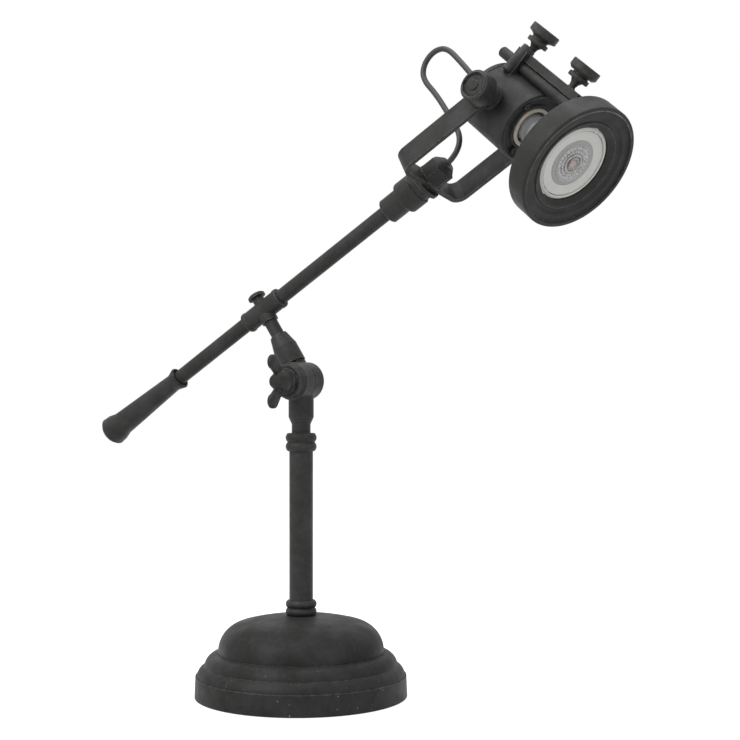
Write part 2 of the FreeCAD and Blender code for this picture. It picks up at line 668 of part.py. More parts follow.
def make_base():
    make_base_shell()
    low = d.pad_thickness
    cover = washer("base_cover", BASE, 0, d.base_radius - d.wall - d.fit_gap * 4, low,
                   low + d.cover_thickness)
    holes = new_sketch(cover, "XY_Plane")
    for x, y in boss_places():
        draw_circle(holes, x, y, d.cover_screw_d / 2 + d.fit_gap)
    cut_through(cover, holes)

    weight_low = low + d.cover_thickness
    weight = washer("base_weight", BASE, d.weight_bore, d.weight_radius, weight_low,
                    weight_low + d.weight_thickness)
    holes = new_sketch(weight, "XY_Plane")
    for x, y in boss_places():
        draw_circle(holes, x, y, d.cover_screw_d / 2 + d.fit_gap)
    cut_through(weight, holes)
    slot = new_sketch(weight, "XY_Plane")
    half = d.weight_slot / 2
    reach = -d.weight_radius - 1
    draw(slot, [(reach, -half), (0, -half), (0, half), (reach, half)])
    cut_through(weight, slot)

    foot = washer("foot_pad", BASE, 0, d.pad_radius, 0, low)
    holes = new_sketch(foot, "XY_Plane")
    for x, y in boss_places():
        draw_circle(holes, x, y, d.cover_head_d / 2 + d.pad_hole_gap)
    cut_through(foot, holes)

    screw = pattern_body("cover_screw")
    revolve(screw, [(0, -d.cover_head_t), (d.cover_head_d / 2, -d.cover_head_t),
                    (d.cover_head_d / 2, 0), (d.cover_screw_d / 2, 0),
                    (d.cover_screw_d / 2, d.cover_screw_len), (0, d.cover_screw_len)])
    doc.recompute()
    group("cover_screws", screw, [at(BASE, x, y, low) for x, y in boss_places()])

    hole = d.outlet_diameter / 2
    rim = d.base_radius - d.rim_taper / 2
    outward = axes(Vector(-rim.value, 0, d.outlet_height.value), Vector(0, 1, 0), Vector(0, 0, 1),
                   Vector(1, 0, 0)) * FreeCAD.Placement(Vector(), FreeCAD.Rotation(Vector(1, 0, 0), 180))
    bore = d.lead_diameter / 2 + d.fit_gap
    lip = hole + d.grommet_lip
    gap = d.face_gap
    turned("cable_grommet", outward, [
        (bore, -d.wall - d.grommet_lip - gap), (hole + 1, -d.wall - d.grommet_lip - gap),
        (lip, -d.wall - gap), (hole - d.fit_gap, -d.wall - gap), (hole - d.fit_gap, gap),
        (lip, gap), (hole + 1, gap + d.grommet_lip), (bore, gap + d.grommet_lip)])


# ---------------------------------------------------------------- column

def make_column():
    seat, seat_under = base_seat()
    tube_outer = d.column_diameter / 2
    tube_inner = tube_outer - d.tube_wall
    waist = d.collar_diameter / 2 - d.bead_bulge
    bead = Arc(bead_arc(d.bead_height, d.bead_bulge), -1)
    nipple = d.nipple_diameter / 2
    collar_top = seat + 2 * d.bead_height
    tube_low = collar_top - d.socket_depth
    turned("foot_collar", BASE, [
        (nipple + d.fit_gap, seat), (waist, seat), bead, (waist, seat + d.bead_height), bead,
        (waist, collar_top), (tube_outer + d.fit_gap, collar_top),
        (tube_outer + d.fit_gap, tube_low), (nipple + d.fit_gap, tube_low)])

    top_low = d.column_top
    top_high = d.column_top + 2 * d.top_bead_height
    top_bead = Arc(bead_arc(d.top_bead_height, d.bead_bulge), -1)
    tube_high = top_low + d.socket_depth
    bore = d.journal_radius + d.fit_gap
    turned("column_tube", BASE, ring_outline(tube_inner, tube_outer, tube_low, tube_high))
    turned("top_collar", BASE, [
        (tube_outer + d.fit_gap, top_low), (waist, top_low), top_bead,
        (waist, top_low + d.top_bead_height), top_bead, (waist, top_high), (bore, top_high),
        (bore, tube_high), (tube_outer + d.fit_gap, tube_high)])

    washer_low = seat_under - d.washer_thickness
    washer("base_washer", BASE, nipple + d.fit_gap, d.washer_radius, washer_low, seat_under)
    nut = new_body("base_nut", BASE)
    nut_low = washer_low - d.base_nut_height
    sketch = new_sketch(nut, "XY_Plane", nut_low)
    draw_hexagon(sketch, d.base_nut_width)
    draw_circle(sketch, 0, 0, nipple + d.fit_gap)
    pad(nut, sketch, d.base_nut_height)
    turned("column_nipple", BASE, ring_outline(d.nipple_bore / 2, nipple, nut_low - 2,
                                               collar_top))


def pipe(label, points, diameter, frame):
    """A round cord along straight runs joined by tangent arcs; prints its length, radii and volume."""
    edges, radii, start = [], [], points[0]
    for i in range(1, len(points) - 1):
        before, after = points[i] - points[i - 1], points[i + 1] - points[i]
        half_turn = before.getAngle(after) / 2
        trim = 0.45 * min(before.Length, after.Length)
        radii.append(trim / math.tan(half_turn))
        into = points[i] - before.normalize() * trim
        out = points[i] + after.normalize() * trim
        inward = (into + out) / 2 - points[i]
        middle = points[i] + inward.normalize() * radii[-1] * (1 / math.cos(half_turn) - 1)
        edges.append(Part.LineSegment(start, into).toShape())
        edges.append(Part.Arc(into, middle, out).toShape())
        start = out
    edges.append(Part.LineSegment(start, points[-1]).toShape())
    spine = Part.Wire(edges)
    section = Part.Wire(Part.Circle(points[0], points[1] - points[0], diameter / 2).toShape())
    solid = spine.makePipeShell([section], True, False)
    piece = doc.addObject("Part::Feature", label)
    piece.Label = label
    piece.Shape = solid
    piece.Placement = frame
    sub_parts.append(piece)
    expected = math.pi * diameter ** 2 / 4 * spine.Length
    print(f"{label}: length {spine.Length:.1f} mm, radii {[round(r, 1) for r in radii]}, "
          f"volume {solid.Volume / expected:.4f} of section x length")


# ---------------------------------------------------------------- knuckle

def make_knuckle_lower():
    """Front half of the drum with its stem and the journal that swivels in the column's collar."""
    body = new_body("knuckle_lower", KNUCKLE)
    top = -d.bolt_diameter
    shoulder = d.column_top + 2 * d.top_bead_height - d.knuckle_height + d.face_gap
    foot = d.column_top - d.knuckle_height + 1
    revolve(body, [
        (d.journal_bore, top), (d.stem_radius, top), (d.stem_radius, -d.stem_straight),
        (d.stem_neck_radius, -d.stem_cone), (d.stem_neck_radius, shoulder),
        (d.journal_radius, shoulder), (d.journal_radius, foot), (d.journal_bore, foot)])
    bore = d.bolt_diameter / 2 + d.fit_gap
    split = d.drum_split + d.friction_thickness / 2
    saddle = new_sketch(body, "XZ_Plane", split)
    draw_circle(saddle, 0, 0, d.drum_radius + d.face_gap)
    cut(body, saddle, split + d.stem_radius + 1)
    revolve(body, [
        (bore, -split), (bore, -d.drum_front), (d.drum_boss_radius - 1, -d.drum_front),
        (d.drum_boss_radius, -d.drum_front + 1), (d.drum_boss_radius, -d.drum_step - 1.6),
        (d.drum_radius, -d.drum_step), (d.drum_radius, -split)], "XY_Plane")
    hole = new_sketch(body, "XZ_Plane")
    draw_circle(hole, 0, 0, bore)
    cut_through(body, hole)


def make_knuckle_upper():
    """Rear half of the drum with the stem that holds the neck rod."""
    body = new_body("knuckle_upper", UPPER)
    bore = d.bolt_diameter / 2 + d.fit_gap
    split = d.drum_split - d.friction_thickness / 2
    revolve(body, [
        (bore, -split), (d.drum_radius, -split), (d.drum_radius, d.drum_rear - 1),
        (d.drum_radius - 1, d.drum_rear), (bore, d.drum_rear)], "XY_Plane")
    web = new_sketch(body, "XZ_Plane", split)
    half, low, high = d.web_half, d.drum_radius / 2, d.upper_end + 2
    draw(web, [(-half, low), (half, low), (half, high), (-half, high)])
    pad(body, web, d.drum_rear + split, reverse=True)
    stem = new_sketch(body, "XY_Plane", d.upper_end)
    draw_circle(stem, 0, d.neck_offset, d.stem_radius)
    pad(body, stem, d.upper_straight - d.upper_end)
    cone = body.newObject("PartDesign::AdditiveCone", "knuckle_upper_cone")
    cone.Radius1 = d.stem_radius.value
    cone.Radius2 = d.upper_mouth_radius.value
    cone.Height = (d.upper_cone - d.upper_straight).value
    cone.setExpression("Radius1", d.stem_radius.text)
    cone.setExpression("Radius2", d.upper_mouth_radius.text)
    cone.setExpression("Height", (d.upper_cone - d.upper_straight).text)
    cone.AttachmentOffset = FreeCAD.Placement(
        Vector(0, d.neck_offset.value, d.upper_straight.value), FreeCAD.Rotation())
    plane = next(f for f in body.Origin.OriginFeatures if f.Role == "XY_Plane")
    cone.AttachmentSupport = [(plane, "")]
    cone.MapMode = "FlatFace"
    cone.setExpression("AttachmentOffset.Base.y", d.neck_offset.text)
    cone.setExpression("AttachmentOffset.Base.z", d.upper_straight.text)
    socket = new_sketch(body, "XY_Plane", d.upper_cone)
    draw_circle(socket, 0, d.neck_offset, d.neck_diameter / 2 + d.fit_gap)
    cut(body, socket, d.upper_cone - neck_seat())
    way = new_sketch(body, "XY_Plane", d.upper_cone)
    draw_circle(way, 0, d.neck_offset, d.neck_bore)
    cut(body, way, d.upper_cone - d.drum_radius + 2)
    hole = new_sketch(body, "XZ_Plane")
    draw_circle(hole, 0, 0, bore)
    cut_through(body, hole)


def neck_seat():
    """Depth of the neck rod's socket, from the drum's axis."""
    return d.upper_straight - 6


def shape_so_far(body):
    """The body's shape so far, in its own frame."""
    doc.recompute()
    return body.Tip.Shape


def tangent_point(start, centre, radius, side):
    """Where the line from start touches the circle, on its right (+1) or left (-1) as start sees it."""
    x, y = centre[0] - start[0], centre[1] - start[1]
    square = x * x + y * y
    run = (square - radius * radius).root()
    along, across = run * run / square, side * run * radius / square
    return start[0] + along * x + across * y, start[1] + along * y - across * x


def make_wing_nut():
    frame = at(DRUM, 0, 0, d.drum_front + d.wing_washer_t + d.fit_gap)
    body = new_body("wing_nut", frame)
    revolve(body, [
        (0, 0), (d.wing_flange_radius, 0), (d.wing_flange_radius, d.wing_flange_height - 0.6),
        (d.wing_flange_radius - 0.6, d.wing_flange_height), (d.wing_hub_radius, d.wing_flange_height),
        (d.wing_nose_radius, d.wing_length - 1.2), (d.wing_nose_radius - 1.2, d.wing_length),
        (0, d.wing_length)])
    lobe = (d.wing_span / 2 - d.wing_lobe, d.wing_reach - d.wing_lobe)
    root = (d.wing_hub_radius - 1, d.wing_root)
    crotch = (d.wing_nose_radius - 1, d.wing_length - 5)
    outside = tangent_point(root, lobe, d.wing_lobe, 1)
    inside = tangent_point(crotch, lobe, d.wing_lobe, -1)
    for side in (1, -1):
        sketch = new_sketch(body, "YZ_Plane")
        draw(sketch, [(0, d.wing_root), (side * root[0], root[1]), (side * outside[0], outside[1]),
                      Arc(d.wing_lobe, -side), (side * lobe[0], lobe[1] + d.wing_lobe),
                      Arc(d.wing_lobe, -side), (side * inside[0], inside[1]),
                      (side * crotch[0], crotch[1]), (0, crotch[1])])
        pad(body, sketch, d.wing_thickness, both_ways=True)
    thread = new_sketch(body, "XY_Plane")
    draw_circle(thread, 0, 0, d.bolt_diameter / 2 + d.fit_gap)
    cut(body, thread, d.wing_length - 3, reverse=True)
    wings = [f"Edge{i}" for i, e in enumerate(shape_so_far(body).Edges, start=1)
             if e.Curve.TypeId == "Part::GeomCircle"
             and e.BoundBox.ZMax > d.wing_length.value + 1
             and e.BoundBox.XLength < 1e-6]
    fillet(body, wings, d.wing_thickness * 0.3)


def make_knuckle():
    make_knuckle_lower()
    make_knuckle_upper()
    split = d.drum_split
    half = d.friction_thickness / 2 - d.fit_gap
    washer("friction_washer", DRUM, d.bolt_diameter / 2 + d.fit_gap, d.drum_radius - 1,
           split - half, split + half)
    rear = -d.drum_rear
    nose = d.drum_front + d.wing_washer_t + d.wing_length - 4
    shank = d.bolt_diameter / 2
    turned("knuckle_bolt", DRUM, [
        (0, rear - d.bolt_head_height), (d.bolt_head_radius * 0.7, rear - d.bolt_head_height),
        Arc(d.bolt_head_height * 1.2, 1),
        (d.bolt_head_radius, rear), (shank, rear), (shank, nose), (0, nose)])
    washer("wing_washer", DRUM, shank + d.fit_gap, d.wing_flange_radius + 0.6, d.drum_front,
           d.drum_front + d.wing_washer_t)
    journal_foot = d.column_top + 1
    washer("swivel_nut", BASE, d.journal_radius + d.fit_gap, d.swivel_nut_radius,
           journal_foot, journal_foot + d.swivel_nut_height)
    make_wing_nut()


# ---------------------------------------------------------------- neck and T collar

def make_tee():
    rod_foot = neck_seat()
    rod_head = d.neck_length - d.arm_diameter / 2 - d.wall / 2
    turned("neck_rod", NECK, ring_outline(d.neck_bore, d.neck_diameter / 2, rod_foot, rod_head))

    body = new_body("tee_collar", TEE)
    bore = d.arm_diameter / 2 + d.fit_gap
    outer = d.tee_diameter / 2
    # sleeve: a round bar along X with a lip at each end
    sleeve = new_sketch(body, "XZ_Plane")
    end, lip = d.tee_length / 2, d.tee_lip_width
    draw(sketch=sleeve, outline=[
        (-end, bore), (-end, outer), (-end + 0.9, outer + d.tee_lip), (-end + lip, outer + d.tee_lip),
        (-end + lip + 0.9, outer), (end - lip - 0.9, outer), (end - lip, outer + d.tee_lip),
        (end - 0.9, outer + d.tee_lip), (end, outer), (end, bore)])
    turn = body.newObject("PartDesign::Revolution", "tee_collar_sleeve")
    turn.Profile = sleeve
    turn.ReferenceAxis = (sleeve, ["H_Axis"])
    turn.Angle = 360
    boss = new_sketch(body, "XY_Plane", -d.tee_boss_reach)
    draw_circle(boss, 0, 0, d.tee_boss_radius)
    pad(body, boss, d.tee_boss_reach)
    pad_sketch = new_sketch(body, "XY_Plane")
    draw_circle(pad_sketch, 0, 0, d.screw_pad_radius)
    pad(body, pad_sketch, d.screw_pad_reach)
    clear = new_sketch(body, "YZ_Plane")
    draw_circle(clear, 0, 0, bore)
    cut_through(body, clear)
    socket = new_sketch(body, "XY_Plane", -d.tee_boss_reach)
    draw_circle(socket, 0, 0, d.neck_diameter / 2 + d.fit_gap)
    cut(body, socket, d.tee_boss_reach - d.arm_diameter / 2 - d.wall / 2 + d.fit_gap, reverse=True)
    way = new_sketch(body, "XY_Plane", -d.tee_boss_reach)
    draw_circle(way, 0, 0, d.neck_bore)
    cut(body, way, d.tee_boss_reach - 1, reverse=True)
    tapped = new_sketch(body, "XY_Plane")
    draw_circle(tapped, 0, 0, d.thumb_shank_d / 2 + d.fit_gap)
    cut(body, tapped, d.screw_pad_reach + 1, reverse=True)

    low = d.arm_diameter / 2 + d.fit_gap * 2
    shank = d.thumb_shank_d / 2
    collar = d.screw_pad_reach + d.face_gap
    turned("tee_screw", TEE, [
        (0, low), (shank, low), (shank, collar), (d.screw_pad_radius - 1, collar),
        (d.screw_pad_radius - 1, collar + 1.6), (d.thumb_flange_radius - 0.7, collar + 2.4),
        (d.thumb_flange_radius - 0.7, collar + 4.4), (d.thumb_flange_radius - 2.2, collar + 5.6),
        (0, collar + 6.2)])


# ---------------------------------------------------------------- arm

def make_arm():
    tube = turned("arm_tube", ARM, ring_outline(
        d.arm_bore, d.arm_diameter / 2, -d.weight_front - d.weight_grip, d.arm_front))
    slot = new_sketch(tube, "YZ_Plane")
    half, ends = d.slot_width / 2, d.slot_length / 2 - d.slot_width / 2
    round_end = Arc(half, -1)
    draw(slot, [(-half, -ends), round_end, (0, -ends - half), round_end, (half, -ends),
                (half, ends), round_end, (0, ends + half), round_end, (-half, ends)])
    cut(tube, slot, d.arm_diameter)

    rear, front = -d.weight_rear, -d.weight_front
    hole = d.arm_diameter / 2 + d.fit_gap
    grip = front - d.weight_grip - d.fit_gap
    rim = d.weight_small - 2
    turned("counterweight", ARM, [
        (0, rear), (d.weight_big - d.weight_round, rear),
        Arc(d.weight_round, -1),
        (d.weight_big, rear + d.weight_round), (d.weight_big, rear + d.weight_round + 9),
        (d.weight_small, front - 8),
        Arc(9, -1),
        (rim, front), (d.weight_mouth, front), (d.weight_mouth - 0.6, front - d.weight_mouth_depth),
        (hole, front - d.weight_mouth_depth), (hole, grip), (0, grip)])

    nipple = d.nipple_diameter / 2
    low, high = d.small_collar_rear, d.small_collar_front
    shoulder = d.arm_front + d.fit_gap
    pocket = shoulder + d.nipple_nut_height + 4 * d.face_gap + 3
    chamfer = 1.2
    turned("small_collar", ARM, [
        (hole, low), (d.small_collar_radius - chamfer, low), (d.small_collar_radius, low + chamfer),
        (d.small_collar_radius, high), (nipple + d.fit_gap, high), (nipple + d.fit_gap, pocket),
        (d.nipple_nut_radius + d.fit_gap, pocket), (d.nipple_nut_radius + d.fit_gap, shoulder),
        (hole, shoulder)])


# ---------------------------------------------------------------- fork

def make_fork_bar():
    body = new_body("fork", FORK)
    half, thick, bend = d.fork_width / 2, d.fork_thickness, d.fork_bend
    seat, tip = d.fork_seat, d.pivot_distance + d.fork_bar / 2
    inner = bend - thick
    outline = new_sketch(body, "XZ_Plane")
    draw(outline, [
        (-half, tip), (-half, seat + bend), Arc(bend, -1), (-half + bend, seat),
        (half - bend, seat), Arc(bend, -1), (half, seat + bend), (half, tip),
        (half - thick, tip), (half - thick, seat + bend), Arc(inner, 1),
        (half - bend, seat + thick), (-half + bend, seat + thick), Arc(inner, 1),
        (-half + thick, seat + bend), (-half + thick, tip)])
    pad(body, outline, d.fork_bar, both_ways=True)
    ends = new_sketch(body, "YZ_Plane")
    bar = d.fork_bar / 2
    far = tip + 1
    # what is left outside the round ends of the legs
    pivot = d.pivot_distance
    draw(ends, [(-bar, pivot), Arc(bar, 1), (0, pivot + bar), Arc(bar, 1), (bar, pivot),
                (bar + 1, pivot), (bar + 1, far), (-bar - 1, far), (-bar - 1, pivot)])
    cut_through(body, ends)
    pins = new_sketch(body, "YZ_Plane")
    draw_circle(pins, 0, d.pivot_distance, d.pivot_pin_d / 2 + d.fit_gap)
    cut_through(body, pins)
    hole = new_sketch(body, "XY_Plane", seat - 1)
    draw_circle(hole, 0, 0, d.nipple_diameter / 2 + d.fit_gap)
    cut(body, hole, thick + 2, reverse=True)


def make_fork():
    nipple = d.nipple_diameter / 2
    bore = d.nipple_bore / 2
    rear = d.small_collar_front + d.face_gap
    large, edge = d.large_collar_radius, d.large_collar_round
    turned("large_collar", FORK, [
        (nipple + d.fit_gap, rear), (large - edge, rear), Arc(edge, -1), (large, rear + edge),
        (large, d.large_collar_front - 1), (large - 1, d.large_collar_front),
        (nipple + d.fit_gap, d.large_collar_front)])
    flange = d.fork_seat - d.spacer_flange_t
    turned("fork_spacer", FORK, [
        (nipple + d.fit_gap, d.large_collar_front), (d.spacer_radius, d.large_collar_front),
        (d.spacer_radius, flange), (d.spacer_flange, flange + 1), (d.spacer_flange, d.fork_seat),
        (nipple + d.fit_gap, d.fork_seat)])
    make_fork_bar()
    face = d.fork_seat + d.fork_thickness
    washer_front = face + d.gland_washer_t
    washer("gland_washer", FORK, nipple + d.fit_gap, d.gland_washer_radius, face, washer_front)

    nut_rear = d.arm_front + d.fit_gap + d.face_gap
    nipple_front = washer_front + d.gland_hex_length - 3
    turned("fork_nipple", FORK, ring_outline(bore, nipple, nut_rear, nipple_front))
    washer("nipple_nut", FORK, nipple + d.fit_gap, d.nipple_nut_radius - d.face_gap,
           nut_rear + 2 * d.face_gap, nut_rear + 2 * d.face_gap + d.nipple_nut_height)

    gland = new_body("cable_gland", FORK)
    hexagon = new_sketch(gland, "XY_Plane", washer_front)
    draw_hexagon(hexagon, d.gland_width, 30)
    pad(gland, hexagon, d.gland_hex_length + d.gland_dome)
    top = washer_front + d.gland_hex_length
    end = top + d.gland_dome
    corner = d.gland_width * 0.62
    # the turned dome at the hexagon's front end
    groove(gland, [(d.gland_width * 0.5, top), (corner, top - 1.6), (corner, end + 1),
                   (d.gland_mouth_radius + 1.5, end + 1), (d.gland_mouth_radius + 1.5, end)])
    thread = new_sketch(gland, "XY_Plane", washer_front)
    draw_circle(thread, 0, 0, nipple + d.fit_gap)
    cut(gland, thread, d.gland_hex_length - 3 + d.fit_gap, reverse=True)
    way = new_sketch(gland, "XY_Plane", washer_front)
    draw_circle(way, 0, 0, d.lead_diameter / 2 + d.fit_gap)
    cut(gland, way, d.gland_hex_length + d.gland_dome + 1, reverse=True)


# ---------------------------------------------------------------- head

def make_housing():
    outer, wall = d.housing_radius, d.housing_wall
    rear = -d.housing_rear + d.rear_cap_depth
    front = d.housing_front
    body = turned("housing", HEAD, [
        (outer - wall, rear), (outer - d.seam_groove, rear), (outer - d.seam_groove, rear + 0.8),
        (outer, rear + 1.2), (outer, front - 0.8), (outer - 0.8, front), (outer - wall, front)])
    seats = new_sketch(body, "YZ_Plane")
    draw_circle(seats, 0, 0, d.pivot_pin_d / 2 + d.fit_gap)
    cut_through(body, seats)
    spigot = rear + 3
    cap = turned("rear_cap", HEAD, [
        (d.lead_diameter / 2 + 2 + d.fit_gap, -d.housing_rear), (outer - d.rear_cap_round, -d.housing_rear),
        Arc(d.rear_cap_round, -1),
        (outer, -d.housing_rear + d.rear_cap_round), (outer, rear), (outer - wall - d.fit_gap, rear),
        (outer - wall - d.fit_gap, spigot), (outer - wall - 2, spigot), (outer - wall - 2, rear),
        (d.lead_diameter / 2 + 2 + d.fit_gap, rear)])
    hole = d.lead_diameter / 2
    turned("cap_bush", HEAD, [
        (hole + d.fit_gap, -d.housing_rear - 3.4), (hole + 2.2, -d.housing_rear - 3.4),
        (hole + 3.4, -d.housing_rear - 1), (hole + 3.4, -d.housing_rear), (hole + 2, -d.housing_rear),
        (hole + 2, rear), (hole + 3, rear), (hole + 3, rear + 1.4), (hole + d.fit_gap, rear + 1.4)])
    return cap


def plate_screw_places():
    angles = [math.radians(210 + 120 * i) for i in range(3)]
    return [(d.plate_screw_circle * math.cos(a), d.plate_screw_circle * math.sin(a)) for a in angles]


def make_front_plate():
    front = d.housing_front - d.plate_recess
    rear = front - d.plate_thickness
    inner = d.housing_radius - d.housing_wall - d.fit_gap
    plate = washer("front_plate", HEAD, d.plate_bore, inner, rear, front)
    holes = new_sketch(plate, "XY_Plane")
    for x, y in plate_screw_places():
        draw_circle(holes, x, y, d.plate_screw_d / 2 + d.fit_gap)
    cut_through(plate, holes)
    sinks = new_sketch(plate, "XY_Plane", front)
    for x, y in plate_screw_places():
        draw_circle(sinks, x, y, d.plate_screw_head / 2 + d.fit_gap)
    cut(plate, sinks, d.plate_thickness / 2)

    screw = pattern_body("plate_screw")
    head = d.plate_screw_head / 2
    shank = d.plate_screw_d / 2
    revolve(screw, [(0, -9), (shank, -9), (shank, -d.plate_thickness / 2),
                    (head, -d.plate_thickness / 2), (head, -0.3), (head - 0.5, 0), (0, 0)])
    slot = new_sketch(screw, "XY_Plane")
    draw(slot, [(-head - 1, -0.4), (head + 1, -0.4), (head + 1, 0.4), (-head - 1, 0.4)])
    cut(screw, slot, 0.7)
    doc.recompute()
    group("plate_screws", screw, [at(HEAD, x, y, front) for x, y in plate_screw_places()])


def make_lampholder():
    front = d.housing_front - 1
    plate_rear = d.housing_front - d.plate_recess - d.plate_thickness
    rear = -d.holder_rear
    body = turned("lampholder", HEAD, [
        (d.holder_bore, front), (d.holder_bore, rear + 5), (5, rear + 5), (5, rear),
        (d.holder_body, rear), (d.holder_body, plate_rear - d.holder_flange_t),
        (d.holder_flange, plate_rear - d.holder_flange_t), (d.holder_flange, plate_rear),
        (d.holder_radius, plate_rear), (d.holder_radius, front - 1.2), (d.holder_radius - 1.2, front)])
    posts = new_sketch(body, "XY_Plane", plate_rear)
    for x, y in plate_screw_places():
        draw_circle(posts, x, y, d.plate_screw_d / 2 + d.fit_gap)
    cut(body, posts, 10)
    # screw shell without its thread, and the spring contact at its foot
    shell_outer = d.holder_bore - d.fit_gap
    shell_inner = shell_outer - d.shell_thickness
    turned("screw_shell", HEAD, ring_outline(shell_inner, shell_outer, rear + 5, front - 7))
    contact = new_body("centre_contact", HEAD)
    sketch = new_sketch(contact, "YZ_Plane")
    draw(sketch, [(-9, rear + 5), (9, rear + 5), (9, rear + 5.6), (3, rear + 5.6), (2, rear + 8.4),
                  (-2, rear + 8.4), (-2, rear + 7.8), (1.6, rear + 7.8), (2.6, rear + 5.6), (-9, rear + 5.6)])
    pad(contact, sketch, 6, both_ways=True)


def make_bulb():
    rim, front, depth = d.bulb_rim_radius, d.bulb_rim_front, d.bulb_rim_depth
    neck, wall = d.bulb_neck_radius, d.bulb_wall
    cap_front = d.housing_front - 0.4
    throat = cap_front + d.bulb_throat
    throat_r = d.bulb_throat_radius
    cone = front - depth
    turned("bulb_reflector", HEAD, [
        (neck - wall, cap_front), (neck, cap_front), (throat_r, throat),
        Arc(d.bulb_flank, -1),
        (rim - 3, cone - 8), (rim, cone), (rim, front - 1.2), (rim - 1.2, front), (d.lens_radius, front),
        (d.lens_radius, front - 2.4), (d.lens_radius - wall, front - 2.4),
        (rim - 3 - wall, cone - 8),
        Arc(d.bulb_flank - wall, 1),
        (throat_r - wall, throat)])
    turned("bulb_lens", HEAD, [
        (0, front - 2.2), (d.lens_radius - d.fit_gap, front - 2.2), (d.lens_radius - d.fit_gap, front - 0.7),
        (d.lens_radius * 0.62, front - 0.7), (d.lens_radius * 0.58, front - 0.2),
        Arc(40, 1),
        (0, front + 1.2)])
    # screw cap with rounded thread rings, and its insulated tip
    pitch = d.cap_pitch
    radius = d.cap_radius
    low = cap_front - 6 * pitch - 3
    outline = [(0, low), (radius - 2.2, low)]
    for i in range(6):
        foot = low + 1.2 + i * pitch
        outline += [(radius - 0.9, foot), Arc(pitch * 0.55, -1), (radius - 0.9, foot + pitch)]
        if i < 5:
            outline.pop()
    outline += [(neck - wall - d.fit_gap, cap_front - 0.4), (0, cap_front - 0.4)]
    turned("bulb_cap", HEAD, outline)
    tip = low - 3.2
    turned("bulb_tip", HEAD, [(0, tip), (3.6, tip), (4.6, tip + 1), (radius - 4, low), (0, low)])


def make_pivots():
    """Bosses, pins, spacers and washers of the head's two pivots, and the knobs on them."""
    pin = d.pivot_pin_d / 2
    reach = d.pivot_boss_reach
    leg_in = d.fork_width / 2 - d.fork_thickness
    leg_out = d.fork_width / 2
    wall_in = d.housing_radius - d.housing_wall
    washer_out = leg_out + d.fit_gap + d.pivot_washer_t
    neck_out = washer_out + d.fit_gap + d.pivot_neck
    head_out = neck_out + d.pivot_knob_length
    mirrored = PIVOT * FreeCAD.Placement(Vector(), FreeCAD.Rotation(Vector(1, 0, 0), 180))
    sides = [PIVOT, mirrored]

    boss = pattern_body("pivot_boss")
    flange = d.pivot_boss_radius + 2.4
    revolve(boss, [
        (pin + d.fit_gap, wall_in - 3), (d.pivot_boss_radius, wall_in - 3), (d.pivot_boss_radius, reach - 3),
        (flange, reach - 3), (flange, reach - 1), (d.pivot_boss_radius, reach), (pin + d.fit_gap, reach)])
    hollow = new_sketch(boss, "YZ_Plane")
    draw_circle(hollow, 0, 0, d.housing_radius + d.fit_gap)
    cut_through(boss, hollow)
    bolt = pattern_body("pivot_pin")
    revolve(bolt, [
        (0, wall_in - 4), (pin + 2.5, wall_in - 4), (pin + 2.5, wall_in - 1.4), (pin, wall_in - 1.4),
        (pin, neck_out + 5), (0, neck_out + 5)])
    spacer = pattern_body("pivot_spacer")
    revolve(spacer, ring_outline(pin + d.fit_gap, d.pivot_boss_radius, reach, leg_in - d.fit_gap))
    disc = pattern_body("pivot_washer")
    revolve(disc, ring_outline(pin + d.fit_gap, d.pivot_washer_radius, leg_out + d.fit_gap, washer_out))
    doc.recompute()
    group("pivot_bosses", boss, sides)
    group("pivot_pins", bolt, sides)
    group("pivot_spacers", spacer, sides)
    group("pivot_washers", disc, sides)

    knob = d.pivot_knob_radius
    nub = d.knob_nub_radius
    deep = head_out - d.knob_groove
    for side, frame in zip(("near", "far"), sides):
        turned(f"pivot_knob_{side}", frame, [
            (pin + d.fit_gap, washer_out + d.fit_gap), (d.pivot_neck_radius, washer_out + d.fit_gap),
            (d.pivot_neck_radius, neck_out), (knob - 0.8, neck_out), (knob, neck_out + 0.8),
            (knob, head_out - 1), (knob - 1, head_out), (knob - 2.6, head_out), (knob - 3.2, deep),
            (nub + 1, deep), (nub, head_out), (0, head_out), (0, neck_out + 5 + d.fit_gap),
            (pin + d.fit_gap, neck_out + 5 + d.fit_gap)])


